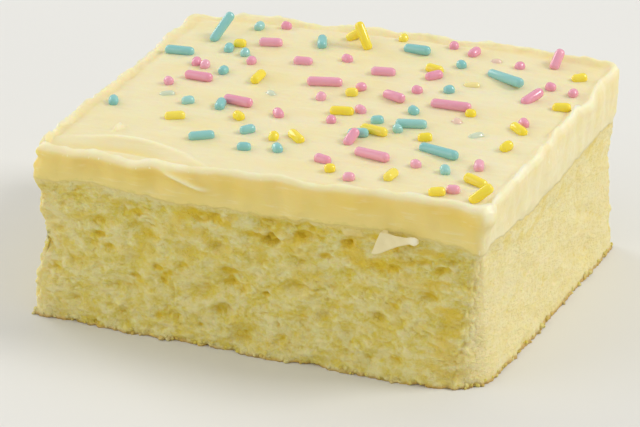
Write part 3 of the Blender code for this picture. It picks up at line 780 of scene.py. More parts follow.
def sponge_point(point):
    """Where a point of the divided cube lies on the sponge, and the numbers its finish needs."""
    wall = on_wall(point)
    level = (point.z + 1) / 2
    plain_x = point.x * SLICE_WIDTH / 2
    plain_y = point.y * SLICE_DEPTH / 2
    border = fine_border(plain_x, plain_y) if wall else LAYER_HEIGHT - LAYER_GAP
    z = level * border
    x, y = rounded_plan(plain_x, plain_y, corner_radius(plain_x, plain_y, z))
    if not wall:
        return bent(x, y, z), 0.0, 1.0 if level < 0.5 else 0.0, 0.0, 0.0, 0.0, 0.0
    _, out = inward_and_out(x, y, corner_radius(x, y, z))
    fade = smooth_step((border - z) / CRUMB_FADE)
    coarse, openness = crumb_depth(x, y, z, out)
    fine, more = fine_crumb(x, y, z, out)
    depth = face_depth(x, y, z) + fade * (coarse + fine)
    openness += more
    place = Vector((x, y, z)) / BLEND_LENGTH
    edge = 0.7 * uneven(*place, BORDER_NOISE) + 0.5 * uneven(*(2.3 * place), CLOT_NOISE)
    smeared = smooth_step(1.2 - (border - z) / (BLEND_HEIGHT * max(0.25, 1 + edge)))
    left_corner = from_front_corner(x, y, -1)
    right_corner = from_front_corner(x, y, 1)
    depth += fade * WORN_CORNER_DEPTH * bump(right_corner, WORN_CORNER_REACH)
    pale_foot = bump(right_corner, PALE_FOOT_REACH) * smooth_step((PALE_FOOT_HEIGHT - z) / PALE_FOOT_REACH)
    # Painted light: paler colour on the right face, the left face and the left front corner, where the key
    # and rim lights fall, and paler at the right corner's foot
    lit_paleness = max(smooth_step(out.x), 0.7 * smooth_step(-out.x), 0.6 * bump(left_corner, LIT_CORNER_REACH),
              pale_foot)
    moist_and_glow = (1 - 0.7 * lit_paleness) * (0.25 + 0.35 * smooth_step((z - UPPER_START) / MOIST_RUN))
    moist_and_glow += BORDER_MOISTURE * bump(border - z - BORDER_MOISTURE_DROP, BORDER_MOISTURE_REACH)
    if out.y < FRONT_FACING:
        there = bent(x, y, z).x
        hole, hollow = front_pores(there, z)
        smear = front_smears(there, z)
        torn = 0.75 + 0.4 * uneven(x / SMEAR_RAG_LENGTH, 0, z / SMEAR_RAG_HEIGHT, GRAIN_NOISE)
        depth += fade * (hole * (1 - smear) * torn - SMEAR_LIFT * smear)
        openness += hollow
        smeared = max(smeared, smear)
        # Painted light: a warm glow near the front right corner, added to the moist colour
        glow = bump(right_corner - CORNER_GLOW_PLACE, CORNER_GLOW_REACH)
        pale = smooth_step((PALE_LEFT_X - x) / PALE_LEFT_RUN)
        pale *= smooth_step((z - PALE_LEFT_Z) / PALE_LEFT_RUN)
        moist_and_glow = min(1.0, moist_and_glow + 0.5 * moist_patches(there, z) + CORNER_GLOW * glow) * (1 - 0.4 * pale)
    teeth = uneven(x / CRUST_TEETH_LENGTH, y / CRUST_TEETH_LENGTH, 0, CRUST_NOISE)
    wave = uneven(x / CRUST_WAVE_LENGTH, y / CRUST_WAVE_LENGTH, 0, CRUST_NOISE)
    crust_line = CRUST_HEIGHT * (1 + 0.7 * wave + 0.5 * lit_paleness)
    crust = smooth_step((crust_line - z) / CRUST_BLEND)
    low = smooth_step((2 * CRUST_HEIGHT - z) / CRUST_HEIGHT)
    depth -= CRUST_TEETH * teeth * low
    x -= depth * out.x
    y -= depth * out.y
    z += CRUST_LIFT * max(0.0, -teeth) * smooth_step(1 - z / CRUST_HEIGHT)
    soft = smooth_step((border - z - LAYER_LAP) / SOFT_FADE) * smooth_step(z / SOFT_FADE)
    return bent(x, y, z), openness, crust, smeared, moist_and_glow, lit_paleness, soft


def icing_point(point):
    """Where a point of the divided cube lies on the icing, and the numbers its finish needs."""
    wall = on_wall(point)
    level = (point.z + 1) / 2
    plain_x = point.x * SLICE_WIDTH / 2
    plain_y = point.y * SLICE_DEPTH / 2
    x, y = rounded_plan(plain_x, plain_y, CORNER_RADIUS)
    if level < 1 - OUTER and not wall:
        return bent(x, y, LAYER_HEIGHT), 1.0, 0.0, 0.0, 0.0
    top = fine_top(x, y)
    bottom = fine_border(plain_x, plain_y) - LAYER_LAP
    below = (1 - level) * (top - bottom) if wall else 0.0
    inward, out = inward_and_out(x, y, CORNER_RADIUS)
    if inward < EDGE_RADIUS and below < EDGE_RADIUS:
        from_centre = Vector((inward - EDGE_RADIUS, below - EDGE_RADIUS))
        scale = EDGE_RADIUS / from_centre.length
        shift = EDGE_RADIUS + scale * from_centre.x - inward
        x -= shift * out.x
        y -= shift * out.y
        below = EDGE_RADIUS + scale * from_centre.y
    z = top - below
    near = smooth_step(1 - inward / (2 * RIM_RADIUS))
    taper = smooth_step((z - bottom) / TAPER_HEIGHT)
    push = ICING_OVERHANG * (EDGE_STEP + (1 - EDGE_STEP) * taper)
    push += (icing_push(x, y, z, out) + fine_push(x, y, z, out, top)) * taper
    push = near * (push - face_depth(x, y, z))
    # The cut side's deeper yellow is partly its own colour and partly painted shade: all of it on the
    # front, a quarter on the right face, which the key light falls on
    side = smooth_step((below - SIDE_DROP) / SIDE_FADE) * (1 - 0.75 * max(0.0, out.x))
    soft = smooth_step((z - bottom - LAYER_LAP) / SOFT_FADE)
    bright = painted_highlight(x, y, z, out, inward, below)
    # Painted shade, mostly left off the right face, which the key light falls on
    shade = hollow_shade(x, y, z, top, inward + below) * (1 - 0.8 * max(0.0, out.x))
    return bent(x + push * out.x, y + push * out.y, z), side, soft, bright, shade


def on_sprinkled_top(x, y):
    """Whether a place lies in from the edges, and clear of the bare strip and front left corner."""
    inward, _ = inward_and_out(x, y, CORNER_RADIUS)
    slope = BARE_CORNER_SLOPE * max(0.0, BARE_CORNER_X - x)
    return inward > SPRINKLE_MARGIN and y > BARE_FRONT + slope - SLICE_DEPTH / 2


def core_points(sprinkle):
    """Plan places along a sprinkle's core, from one rounded end to the other."""
    heading = math.radians(sprinkle.heading)
    reach = (sprinkle.length - SPRINKLE_THICKNESS) / 2 * math.cos(math.radians(sprinkle.lift))
    steps = [reach * step / CORE_STEPS for step in range(-CORE_STEPS, CORE_STEPS + 1)]
    return [(sprinkle.x + step * math.cos(heading), sprinkle.y + step * math.sin(heading))
            for step in steps]


def open_space(sprinkle, laid):
    """Distance in plan between a sprinkle's core and the nearest core that is already laid."""
    own = core_points(sprinkle)
    return min(math.dist(here, there) for other in laid for here in own for there in core_points(other))


def anywhere(rng, sprinkle):
    """The sprinkle at a random place on the top."""
    x = rng.uniform(-1, 1) * (SLICE_WIDTH / 2 - SPRINKLE_MARGIN)
    y = rng.uniform(-1, 1) * (SLICE_DEPTH / 2 - SPRINKLE_MARGIN)
    return sprinkle._replace(x=x, y=y)


def beside(rng, sprinkle, other):
    """The sprinkle at a random place close to one that is already laid."""
    side = rng.uniform(-math.pi, math.pi)
    reach = PARTNER_DISTANCE + rng.random() * other.length / 2
    return sprinkle._replace(x=other.x + reach * math.cos(side), y=other.y + reach * math.sin(side))


def best_place(rng, sprinkle, laid):
    """The sprinkle at the most open of a few places, or at the closest fit beside another."""
    partner = rng.random() < PARTNER_SHARE
    other = rng.choice(laid)
    tried = []
    while len(tried) < CANDIDATES:
        there = beside(rng, sprinkle, other) if partner else anywhere(rng, sprinkle)
        space = open_space(there, laid)
        if space > SPRINKLE_SPACING and on_sprinkled_top(there.x, there.y):
            tried.append((-space if partner else space, there))
        other = rng.choice(laid)
    return max(tried)[1]


def all_sprinkles():
    """The long sprinkles, then ever shorter ones spread over what is bare, some close to another."""
    rng = random.Random(SPRINKLE_SEED)
    laid = list(LONG_SPRINKLES)
    spread = LONGEST_SHORT_SPRINKLE - SHORTEST_SPRINKLE
    lengths = [SHORTEST_SPRINKLE + spread * rng.random() ** SHORTNESS for _ in range(SHORT_SPRINKLES)]
    names = [name for name, _ in COLOUR_SHARES]
    shares = [share for _, share in COLOUR_SHARES]
    for length in sorted(lengths, reverse=True):
        lift = rng.uniform(*(STANDING_LIFTS if rng.random() < STANDING_SHARE else LYING_LIFTS))
        sink = DEEP_SINK if rng.random() < DEEP_SHARE else USUAL_SINK
        colour = rng.choices(names, shares)[0]
        sprinkle = Sprinkle(colour, 0, 0, rng.uniform(0, 180), lift, length, sink)
        laid.append(best_place(rng, sprinkle, laid))
    return laid


def sprinkle_rod(length):
    """A rod along X with blunt round ends: a sphere pulled apart at its middle."""
    rod = bmesh.new()
    radius = SPRINKLE_THICKNESS / 2
    bmesh.ops.create_uvsphere(rod, u_segments=14, v_segments=12, radius=radius)
    stretch = (length - SPRINKLE_THICKNESS) / 2
    for vertex in rod.verts:
        turn = Vector((vertex.co.x, vertex.co.y))
        if turn.length > SAME_POINT:
            turn *= (turn.length / radius) ** -BLUNTNESS
        along = vertex.co.z + math.copysign(stretch, vertex.co.z)
        vertex.co = Vector((along, turn.y, -turn.x))
    return rod


def sprinkle_place(sprinkle):
    """Where a sprinkle lies: its turn and the place of its middle."""
    lift = math.radians(sprinkle.lift)
    surface = icing_top(sprinkle.x, sprinkle.y)
    raised = SPRINKLE_THICKNESS * (0.5 - sprinkle.sink)
    raised += math.sin(lift) * (sprinkle.length - SPRINKLE_THICKNESS) / 2
    middle = bent(sprinkle.x, sprinkle.y, surface) + Vector((0, 0, raised))
    turn = Matrix.Rotation(math.radians(sprinkle.heading), 4, "Z") @ Matrix.Rotation(-lift, 4, "Y")
    return Matrix.Translation(middle) @ turn


def dressed(name, data, finish):
    """A piece from a mesh, in the scene, on its body and finish."""
    piece = bpy.data.objects.new(name, data)
    bpy.context.scene.collection.objects.link(piece)
    data.materials.clear()
    data.materials.append(finish)
    for face in data.polygons:
        face.use_smooth = True
    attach(piece, BODY)
    return piece


def flat_end(data, facing):
    """Shades the hidden end of a layer flat, facing 1 up or -1 down, so that its walls stay even."""
    for face in data.polygons:
        if facing * face.normal.z > FLAT_END_FACING:
            face.use_smooth = False


def keep_values(data, name, values):
    """Stores one number for each point of a mesh."""
    kept = data.attributes.new(name, "FLOAT", "POINT")
    kept.data.foreach_set("value", np.array(values, dtype=np.float32))


def keep_places(data, place, names):
    """Moves every point of a divided cube to its place, and stores the numbers found there."""
    kept = []
    for vertex in data.vertices:
        vertex.co, *here = place(vertex.co)
        kept.append(here)
    for name, values in zip(names, zip(*kept)):
        keep_values(data, name, values)


SOFT_SHARE = 0.6


class Finish:
    """A node-based finish that is built up node by node."""

    def __init__(self, name):
        self.material = bpy.data.materials.new(name)
        self.material.use_nodes = True
        self.tree = self.material.node_tree
        self.shader = self.tree.nodes["Principled BSDF"]
        self.places = self.tree.nodes.new("ShaderNodeTexCoord").outputs["Object"]

    def stretched(self, scale, shift=0.0):
        """The surface's places, stretched along each axis and shifted."""
        node = self.tree.nodes.new("ShaderNodeMapping")
        node.inputs["Scale"].default_value = scale
        node.inputs["Location"].default_value = (shift, shift, shift)
        self.tree.links.new(self.places, node.inputs["Vector"])
        return node.outputs["Vector"]

    def clouds(self, scale, detail=3.0, roughness=0.5, places=None):
        """Cloudy noise from 0 to 1."""
        node = self.tree.nodes.new("ShaderNodeTexNoise")
        node.inputs["Scale"].default_value = scale
        node.inputs["Detail"].default_value = detail
        node.inputs["Roughness"].default_value = roughness
        self.tree.links.new(places or self.places, node.inputs["Vector"])
        return node.outputs["Fac"]

    def kept(self, name):
        """A number that the mesh keeps for each point."""
        node = self.tree.nodes.new("ShaderNodeAttribute")
        node.attribute_name = name
        return node.outputs["Fac"]

    def ranged(self, value, low, high, new_low=0.0, new_high=1.0):
        """A value brought smoothly from one range to another."""
        node = self.tree.nodes.new("ShaderNodeMapRange")
        node.interpolation_type = "SMOOTHSTEP"
        node.inputs["From Min"].default_value = low
        node.inputs["From Max"].default_value = high
        node.inputs["To Min"].default_value = new_low
        node.inputs["To Max"].default_value = new_high
        self.tree.links.new(value, node.inputs["Value"])
        return node.outputs["Result"]

    def sums(self, first, second, operation="ADD"):
        """Two values added, or brought together by another operation."""
        node = self.tree.nodes.new("ShaderNodeMath")
        node.operation = operation
        for value, socket in zip((first, second), node.inputs):
            if isinstance(value, (int, float)):
                socket.default_value = value
            else:
                self.tree.links.new(value, socket)
        return node.outputs["Value"]

    def times(self, first, second):
        """Two values multiplied."""
        return self.sums(first, second, "MULTIPLY")

    def mixed(self, share, first, second):
        """Two colours mixed by a share."""
        node = self.tree.nodes.new("ShaderNodeMix")
        node.data_type = "RGBA"
        for value, name in ((share, "Factor_Float"), (first, "A_Color"), (second, "B_Color")):
            socket = next(each for each in node.inputs if each.identifier == name)
            if isinstance(value, bpy.types.NodeSocket):
                self.tree.links.new(value, socket)
            elif name == "Factor_Float":
                socket.default_value = value
            else:
                socket.default_value = (*value, 1)
        return next(each for each in node.outputs if each.identifier == "Result_Color")

    def colour(self, socket):
        """Gives the shader its colour."""
        self.tree.links.new(socket, self.shader.inputs["Base Color"])

    def roughness(self, socket):
        """Gives the shader its roughness."""
        self.tree.links.new(socket, self.shader.inputs["Roughness"])

    def relief(self, height, depth, strength):
        """Fine relief that is too small for the mesh."""
        node = self.tree.nodes.new("ShaderNodeBump")
        node.inputs["Strength"].default_value = strength
        node.inputs["Distance"].default_value = depth
        self.tree.links.new(height, node.inputs["Height"])
        self.tree.links.new(node.outputs["Normal"], self.shader.inputs["Normal"])

    def soft_inside(self, radius, scale):
        """Light that goes in and comes out close by, as much as the mesh keeps for each point."""
        weight = self.times(self.kept("soft"), SOFT_SHARE)
        self.tree.links.new(weight, self.shader.inputs["Subsurface Weight"])
        self.shader.inputs["Subsurface Radius"].default_value = radius
        self.shader.inputs["Subsurface Scale"].default_value = scale


def crumb_finish(settings, icing_colour):
    """Pale yellow crumb, deeper in moist patches and browned where the crust is, with painted shade in its
    pores and creases and painted light on its raised clots and lit faces.
    """
    finish = Finish("sponge_crumb")
    pale, mid, deep_and_shade = settings.crumb_light_colour, settings.crumb_colour, settings.crumb_deep_and_shade_colour
    along_faces = finish.stretched((0.80, 0.50, 1.0))
    clots = finish.ranged(finish.clouds(560, 4, 0.62, along_faces), 0.41, 0.60)
    grain = finish.ranged(finish.clouds(1700, 3, 0.65, along_faces), 0.38, 0.62)
    wet = finish.ranged(finish.clouds(330, 4, 0.60, finish.stretched((0.55, 0.55, 1.0), 0.31)), 0.44, 0.62)
    open_here = finish.kept("openness")
    shades = finish.mixed(finish.times(clots, 0.70), mid, pale)
    grained = finish.mixed(finish.times(grain, 0.35), shades, pale)
    # Painted light and shade from the crumb's relief: paler on raised clots and tufts, deeper and more
    # ochre in open pores and creases
    raised = finish.mixed(finish.ranged(open_here, 0.0, -0.45, 0.0, 0.6), grained, pale)
    # Painted light: paler colour where the lights fall
    lit_pale = finish.mixed(finish.times(finish.kept("lit_paleness"), 0.62), raised, settings.lit_pale_colour)
    # Deeper colour of the moist patches and the painted glow
    wetted = finish.mixed(finish.times(finish.times(wet, 0.75), finish.kept("moist_and_glow")), lit_pale, deep_and_shade)
    opened = finish.mixed(finish.ranged(open_here, 0.10, 0.85, 0.0, 0.85), wetted, deep_and_shade)
    pored = finish.mixed(finish.ranged(open_here, 0.75, 1.7, 0.0, 0.9), opened, settings.pore_shade_colour)
    specks = finish.ranged(finish.clouds(800, 2), 0.35, 0.65)
    burnt = finish.mixed(specks, settings.crust_colour, settings.crust_dark_colour)
    browned = finish.mixed(finish.times(finish.kept("crust"), 0.8), pored, burnt)
    finish.colour(finish.mixed(finish.times(finish.kept("smeared"), 0.75), browned, icing_colour))
    finish.roughness(finish.ranged(grain, 0.0, 1.0, 0.75, 0.92))
    finish.relief(finish.sums(grain, finish.clouds(2600, 3)), 0.00024, 0.65)
    finish.soft_inside((1.0, 0.70, 0.25), 0.0013)
    finish.shader.inputs["Specular IOR Level"].default_value = 0.2
    return finish.material


def icing_finish(settings):
    """Pale buttercream with faint knife streaks and a soft shine, painted highlights on its crests, streaks
    and glints, and painted shade in its hollows, under the lip and on its cut side.
    """
    finish = Finish("buttercream")
    painted_highlight_colour = settings.painted_highlight_colour
    streaks = finish.clouds(1300, 3, 0.55, finish.stretched((0.10, 1.0, 1.0)))
    clouds = finish.ranged(finish.clouds(150, 3, 0.55, finish.stretched((0.45, 1.0, 1.0))), 0.38, 0.68)
    top = finish.mixed(finish.times(clouds, 0.30), settings.top_colour, settings.deep_colour)
    side = finish.kept("side")
    # Deeper yellow of the cut side, partly its own colour and partly painted shade
    sided = finish.mixed(finish.times(side, 0.8), top, settings.side_and_shade_colour)
    # Painted shade in the hollows and under the lip
    shaded = finish.mixed(finish.times(finish.kept("shade"), 0.7), sided, settings.shade_colour)
    rags = finish.sums(finish.kept("soft"), finish.clouds(620, 4, 0.6), "SUBTRACT")
    crumby = finish.times(finish.ranged(rags, -0.40, -0.56, 0.0, 0.65), side)
    ragged = finish.mixed(crumby, shaded, settings.crumby_colour)
    # Painted glints on the right band, and knife streaks partly painted as highlight
    glints = finish.ranged(finish.clouds(1500, 2, 0.5, finish.stretched((1.0, 1.0, 0.45), 0.2)), 0.66, 0.76)
    part_side = finish.times(side, finish.sums(1.0, side, "SUBTRACT"))
    glinting = finish.mixed(finish.times(glints, finish.times(part_side, 4.0)), ragged, painted_highlight_colour)
    streaked = finish.mixed(finish.ranged(streaks, 0.55, 0.75, 0.0, 0.20), glinting, painted_highlight_colour)
    # Painted highlight on the crests, the fold, the burr, the corner curl and the flake's bead
    finish.colour(finish.mixed(finish.times(finish.kept("painted_highlight"), 0.9), streaked, painted_highlight_colour))
    finish.roughness(finish.ranged(finish.clouds(500, 2), 0.3, 0.7, 0.34, 0.50))
    finish.relief(finish.sums(streaks, finish.clouds(2600, 2)), 0.00012, 0.35)
    finish.soft_inside((1.0, 0.70, 0.22), 0.0020)
    finish.shader.inputs["Specular IOR Level"].default_value = 0.45
    return finish.material


def sprinkle_finish(name, colour, light, icing_colour):
    """Waxy sugar of one pastel colour, a little paler here and there, faded where it has sunk in."""
    finish = Finish(name)
    clouds = finish.ranged(finish.clouds(700, 2), 0.3, 0.7)
    tinted = finish.mixed(finish.sums(finish.kept("pale"), finish.times(clouds, 0.10)), colour, light)
    finish.colour(finish.mixed(finish.kept("faded"), tinted, icing_colour))
    finish.roughness(finish.ranged(finish.clouds(1800, 2), 0.3, 0.7, 0.12, 0.22))
    finish.shader.inputs["Specular IOR Level"].default_value = 0.75
    finish.shader.inputs["Subsurface Weight"].default_value = 0.3
    finish.shader.inputs["Subsurface Radius"].default_value = (1.0, 0.8, 0.7)
    finish.shader.inputs["Subsurface Scale"].default_value = 0.0006
    return finish.material


def colour_setting(name, description, default):
    """A colour that the sidebar shows."""
    return FloatVectorProperty(name=name, description=description, subtype="COLOR", size=3, min=0, max=1,
                               default=default)


def length_setting(name, description, least, most, default):
    """A length that the sidebar shows."""
    return FloatProperty(name=name, description=description, subtype="DISTANCE", unit="LENGTH",
                         min=least, max=most, default=default)


def power_setting(name, description, default):
    """A light's power that the sidebar shows."""
    return FloatProperty(name=name, description=description, unit="POWER", min=0, max=200,
                         default=default)


class SpongeSettings(bpy.types.PropertyGroup):
    """Colours and mesh of the sponge"""

    crumb_colour: colour_setting("Crumb", "Colour of the crumb", (0.755, 0.63, 0.108))
    # Also the painted light on raised clots
    crumb_light_colour: colour_setting("Crumb flecks", "Colour of the palest flecks", (0.855, 0.79, 0.42))
    # Also the painted shade in the open crumb
    crumb_deep_and_shade_colour: colour_setting("Crumb patches", "Colour of the moister patches", (0.78, 0.57, 0.04))
    # Colour of the painted light on the faces and corners the lights fall on
    lit_pale_colour: colour_setting("Dry crumb", "Colour of the right face's drier crumb", (0.91, 0.785, 0.46))
    # Colour of the painted shade deep in the pores
    pore_shade_colour: colour_setting("Pores", "Colour deep in the pores", (0.70, 0.46, 0.010))
    crust_colour: colour_setting("Crust", "Colour of the thin crust at the base", (0.72, 0.44, 0.11))
    crust_dark_colour: colour_setting("Dark crust", "Colour of the crust's specks", (0.52, 0.33, 0.10))
    cell: length_setting("Mesh cell", "Width of a cell of the crumb's mesh", 0.0003, 0.002, 0.00036)


class IcingSettings(bpy.types.PropertyGroup):
    """Colours and mesh of the icing"""

    top_colour: colour_setting("Top", "Colour of the spread top", (0.87, 0.795, 0.52))
    deep_colour: colour_setting("Patches", "Colour of the icing's deeper patches", (0.86, 0.71, 0.30))
    # Colour of the painted highlight on the crests, streaks and glints
    painted_highlight_colour: colour_setting("Crests", "Colour of the thin crests and streaks", (0.98, 0.92, 0.68))
    # Colour of the painted shade in the hollows and under the lip
    shade_colour: colour_setting("Hollows", "Colour in the hollows and under the lip", (0.86, 0.655, 0.12))
    # Colour of the cut side, partly its own and partly painted shade
    side_and_shade_colour: colour_setting("Side", "Colour of the cut side", (0.875, 0.69, 0.175))
    crumby_colour: colour_setting("Crumby edge", "Colour where crumb sticks on", (0.78, 0.665, 0.20))
    cell: length_setting("Mesh cell", "Width of a cell of the icing's mesh", 0.0003, 0.002, 0.0004)


class SprinkleSettings(bpy.types.PropertyGroup):
    """Colours of the sprinkles"""

    pink: colour_setting("Pink", "Colour of the pink sprinkles", (0.83, 0.33, 0.47))
    pale_pink: colour_setting("Pale pink", "Colour of their palest parts", (0.90, 0.52, 0.62))
    yellow: colour_setting("Yellow", "Colour of the yellow sprinkles", (0.95, 0.76, 0.030))
    pale_yellow: colour_setting("Pale yellow", "Colour of their palest parts", (0.95, 0.80, 0.16))
    blue: colour_setting("Blue", "Colour of the blue sprinkles", (0.24, 0.58, 0.58))
    pale_blue: colour_setting("Pale blue", "Colour of their palest parts", (0.45, 0.74, 0.68))


class CrumbSettings(bpy.types.PropertyGroup):
    """Number and size of the loose crumbs"""

    count: IntProperty(name="Crumbs", description="Number of crumbs that cling to the slice", min=0,
                       max=2000, default=260)
    largest: length_setting("Largest", "Radius of the largest crumb", 0.0002, 0.002, 0.00055)


class StageSettings(bpy.types.PropertyGroup):
    """The floor's colour and the lights' power"""

    floor_colour: colour_setting("Floor", "Colour of the plain floor", (0.80, 0.80, 0.785))
    key_power: power_setting("Key light", "Power of the soft light at the back right", 8.6)
    fill_power: power_setting("Fill light", "Power of the soft light at the front left", 4.0)
    rim_power: power_setting("Rim light", "Power of the soft light at the back left", 5.0)
    sky: FloatProperty(name="Sky", description="Strength of the light from all round", min=0, max=5,
                       default=0.60)


class CakeSettings(bpy.types.PropertyGroup):
    """All settings of the slice and its stage"""

    sponge: PointerProperty(type=SpongeSettings)
    icing: PointerProperty(type=IcingSettings)
    sprinkles: PointerProperty(type=SprinkleSettings)
    crumbs: PointerProperty(type=CrumbSettings)
    stage: PointerProperty(type=StageSettings)


class CAKE_OT_sponge(bpy.types.Operator):
    """Make the sponge with its torn crumb, pores and thin browned base"""

    bl_idname = "cake_slice.sponge"
    bl_label = "Sponge"

    def execute(self, context):
        settings = context.scene.cake_slice.sponge
        data = layer_mesh("cake_sponge", settings.cell, round(LAYER_HEIGHT / settings.cell * 1.15), (-1, 1))
        keep_places(data, sponge_point, CRUMB_VALUES)
        finish = crumb_finish(settings, context.scene.cake_slice.icing.deep_colour)
        piece = dressed("cake_sponge", data, finish)
        flat_end(data, 1)
        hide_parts("sponge")
        return {"FINISHED"}


class CAKE_OT_icing(bpy.types.Operator):
    """Make the spread icing with its lips, ridge, fold and curl, and the flake that hangs from it"""

    bl_idname = "cake_slice.icing"
    bl_label = "Icing"

    def execute(self, context):
        settings = context.scene.cake_slice.icing
        data = layer_mesh("cake_icing", settings.cell, ICING_ROWS, (-1,))
        keep_places(data, icing_point, ICING_VALUES)
        finish = icing_finish(settings)
        piece = dressed("cake_icing", data, finish)
        flat_end(data, -1)
        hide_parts("icing")
        dressed("icing_flake", flake_mesh(), finish)
        return {"FINISHED"}


def flake_mesh():
    """The flake: its outline made solid and waxy round, tilted out of the front face from its hinge."""
    curve = bpy.data.curves.new("flake_outline", "CURVE")
    curve.dimensions = "2D"
    curve.fill_mode = "BOTH"
    curve.extrude = FLAKE_THICKNESS / 2
    spline = curve.splines.new("POLY")
    spline.points.add(len(FLAKE_OUTLINE) - 1)
    for point, (across, up) in zip(spline.points, FLAKE_OUTLINE):
        point.co = (across, up, 0, 1)
    spline.use_cyclic_u = True
    guide = bpy.data.objects.new("flake_outline", curve)
    bpy.context.scene.collection.objects.link(guide)
    remesh = guide.modifiers.new("even_cells", "REMESH")
    remesh.mode = "VOXEL"
    remesh.voxel_size = FLAKE_CELL
    rounding = guide.modifiers.new("rounding", "SMOOTH")
    rounding.iterations = 4
    bpy.context.view_layer.update()
    data = bpy.data.meshes.new_from_object(guide.evaluated_get(bpy.context.evaluated_depsgraph_get()))
    bpy.data.objects.remove(guide)
    highlights = []
    for vertex in data.vertices:
        bead = bump(math.hypot(vertex.co.x - FLAKE_BEAD.x, vertex.co.y - FLAKE_BEAD.y), FLAKE_BEAD_SIZE)
        highlights.append(0.15 + 0.85 * bead)
        thin = 0.55 + 0.9 * bead + 0.25 * uneven(*(vertex.co / FLAKE_BEAD_SIZE), DRAG_NOISE)
        bow = FLAKE_BOW * uneven(vertex.co.x / 0.004, vertex.co.y / 0.004, 0, CLOT_NOISE)
        vertex.co.z = vertex.co.z * thin + bow
        over = max(0.0, vertex.co.y - FLAKE_ROOT)
        vertex.co.y -= 0.6 * over
        vertex.co.z -= 0.5 * over
    face_y = -SLICE_DEPTH / 2 + face_depth(FLAKE_X, -SLICE_DEPTH / 2, FLAKE_HINGE)
    place = bent(FLAKE_X, face_y - FLAKE_CLEARANCE, FLAKE_HINGE)
    data.transform(Matrix.Translation(place) @ Matrix.Rotation(math.pi / 2 - FLAKE_TILT, 4, "X"))
    # Painted highlight over the flake, strongest on its bead, and an even share of painted shade
    keep_values(data, "painted_highlight", highlights)
    keep_values(data, "shade", [FLAKE_SHADE] * len(highlights))
    for name in ("side", "soft"):
        keep_values(data, name, [0.0] * len(highlights))
    return data


class CAKE_OT_sprinkles(bpy.types.Operator):
    """Lay the pink, yellow and blue sugar sprinkles on the icing"""

    bl_idname = "cake_slice.sprinkles"
    bl_label = "Sprinkles"

    def execute(self, context):
        settings = context.scene.cake_slice.sprinkles
        icing_colour = context.scene.cake_slice.icing.top_colour
        rng = random.Random(SPRINKLE_SEED + 1)
        laid = all_sprinkles()
        for colour, _ in COLOUR_SHARES:
            heap = bmesh.new()
            pale = []
            faded = []
            for sprinkle in laid:
                if sprinkle.colour != colour:
                    continue
                rod = sprinkle_rod(sprinkle.length)
                bmesh.ops.transform(rod, matrix=sprinkle_place(sprinkle), verts=rod.verts[:])
                points = add_part(heap, rod)
                pale += [PALEST * rng.random() ** 2] * points
                faded += [SUNK_FADING if sprinkle.sink > 0.5 else 0.0] * points
            data = mesh_from(f"sprinkles_{colour}", heap)
            keep_values(data, "pale", pale)
            keep_values(data, "faded", faded)
            finish = sprinkle_finish(f"sprinkle_{colour}", getattr(settings, colour),
                                     getattr(settings, f"pale_{colour}"), icing_colour)
            dressed(f"sprinkles_{colour}", data, finish)
        return {"FINISHED"}


def round_the_foot(around, level):
    """The divided cube's point that lies a distance round its walls, at a level from 0 to 1."""
    start = Vector((-1, -1, 2 * level - 1))
    for step, length in ((Vector((2, 0, 0)), SLICE_WIDTH), (Vector((0, 2, 0)), SLICE_DEPTH),
                         (Vector((-2, 0, 0)), SLICE_WIDTH), (Vector((0, -2, 0)), SLICE_DEPTH)):
        if around < length:
            break
        start += step
        around -= length
    return start + step * (around / length)


class CAKE_OT_crumbs(bpy.types.Operator):
    """Scatter the small crumbs that cling along the base"""

    bl_idname = "cake_slice.crumbs"
    bl_label = "Crumbs"

    def execute(self, context):
        settings = context.scene.cake_slice.crumbs
        rng = random.Random(CRUMB_SEED)
        heap = bmesh.new()
        crust = []
        for _ in range(settings.count):
            around = rng.uniform(0, 2 * (SLICE_WIDTH + SLICE_DEPTH))
            level = CRUMB_LEVEL * rng.random()
            place, _, browned, *_ = sponge_point(round_the_foot(around, level))
            radius = settings.largest * (0.35 + 0.65 * rng.random() ** 2)
            lump = bmesh.new()
            bmesh.ops.create_icosphere(lump, subdivisions=2, radius=radius)
            shift = Vector((rng.random(), rng.random(), rng.random())) * CRUMB_NOISE_SPREAD
            for vertex in lump.verts:
                vertex.co *= 1 + CRUMB_RAGGEDNESS * noise.noise(vertex.co / radius * 0.9 + shift)
            place.z = max(place.z, CRUMB_REST * radius)
            bmesh.ops.translate(lump, vec=place, verts=lump.verts[:])
            points = add_part(heap, lump)
            crust += [0.6 * browned if rng.random() < 0.5 else 0.0] * points
        data = mesh_from("cake_crumbs", heap)
        for vertex in data.vertices:
            vertex.co.z = max(vertex.co.z, 0.0)
        for name in CRUMB_VALUES:
            keep_values(data, name, crust if name == "crust" else [0.0] * len(crust))
        dressed("cake_crumbs", data, bpy.data.materials["sponge_crumb"])
        return {"FINISHED"}


def soft_light(name, place, size, power, colour):
    """A square soft light that looks at the slice."""
    data = bpy.data.lights.new(name, "AREA")
    data.size = size
    data.energy = power
    data.color = colour
    light = bpy.data.objects.new(name, data)
    light.location = place
    light.rotation_euler = (LIGHT_TARGET - Vector(place)).to_track_quat("-Z", "Y").to_euler()
    bpy.context.scene.collection.objects.link(light)


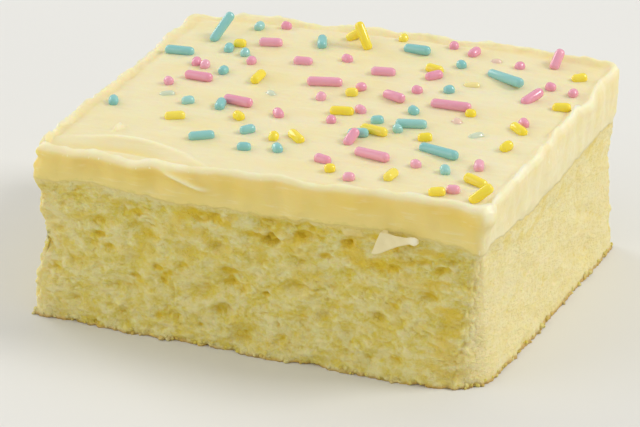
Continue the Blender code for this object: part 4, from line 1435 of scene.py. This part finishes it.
class CAKE_OT_stage(bpy.types.Operator):
    """Set up the plain floor, the soft light and the camera"""

    bl_idname = "cake_slice.stage"
    bl_label = "Stage"

    def execute(self, context):
        settings = context.scene.cake_slice.stage
        disc = bmesh.new()
        bmesh.ops.create_circle(disc, cap_ends=True, segments=96, radius=FLOOR_RADIUS)
        floor = bpy.data.objects.new("floor", mesh_from("floor", disc))
        context.scene.collection.objects.link(floor)
        finish = Finish("plain_floor")
        shade = tuple(0.96 * value for value in settings.floor_colour)
        finish.colour(finish.mixed(finish.clouds(9, 2), settings.floor_colour, shade))
        finish.shader.inputs["Roughness"].default_value = 0.8
        floor.data.materials.append(finish.material)

        soft_light("key_light", (1.0, 0.36, 0.95), 0.45, settings.key_power, (1.0, 0.985, 0.95))
        soft_light("fill_light", (-1.0, -0.75, 0.6), 1.0, settings.fill_power, (1.0, 0.97, 0.90))
        soft_light("rim_light", (-1.2, 0.5, 0.55), 0.7, settings.rim_power, (1.0, 1.0, 0.97))

        world = bpy.data.worlds.new("studio")
        context.scene.world = world
        world.use_nodes = True
        sky = world.node_tree.nodes["Background"]
        sky.inputs["Color"].default_value = (1.0, 0.99, 0.965, 1)
        sky.inputs["Strength"].default_value = settings.sky

        camera = bpy.data.objects.new("camera", bpy.data.cameras.new("camera"))
        context.scene.collection.objects.link(camera)
        camera.data.sensor_width = CAMERA_SENSOR
        camera.data.lens = CAMERA_LENS
        turn = Matrix((CAMERA_RIGHT, CAMERA_UP, CAMERA_BACK)).transposed().to_4x4()
        camera.matrix_world = Matrix.Translation(CAMERA_PLACE) @ turn
        camera.data.clip_start = CAMERA_NEAREST
        context.scene.camera = camera
        context.scene.view_settings.view_transform = "Standard"
        return {"FINISHED"}


class CAKE_PT_slice(bpy.types.Panel):
    """Lists the pieces of the cake slice, their sizes and their colours"""

    bl_idname = "CAKE_PT_slice"
    bl_label = "Cake slice"
    bl_space_type = "VIEW_3D"
    bl_region_type = "UI"
    bl_category = "Cake slice"

    def draw(self, context):
        settings = context.scene.cake_slice
        for step in STEPS:
            self.layout.operator(step.bl_idname)
        for group in (settings.sponge, settings.icing, settings.sprinkles, settings.crumbs,
                      settings.stage):
            box = self.layout.box()
            for name in group.__annotations__:
                box.prop(group, name)


STEPS = (CAKE_OT_stage, CAKE_OT_sponge, CAKE_OT_icing, CAKE_OT_sprinkles, CAKE_OT_crumbs)
CLASSES = (SpongeSettings, IcingSettings, SprinkleSettings, CrumbSettings, StageSettings, CakeSettings,
           *STEPS, CAKE_PT_slice)


def register():
    """Makes the settings, operators and panel known."""
    for each in CLASSES:
        bpy.utils.register_class(each)
    bpy.types.Scene.cake_slice = PointerProperty(type=CakeSettings)


def unregister():
    """Takes them away again."""
    del bpy.types.Scene.cake_slice
    for each in reversed(CLASSES):
        bpy.utils.unregister_class(each)


def main():
    """Makes the whole scene, step by step."""
    register()
    for step in STEPS:
        getattr(bpy.ops.cake_slice, step.bl_idname.split(".")[1])()


if __name__ == "__main__":
    main()
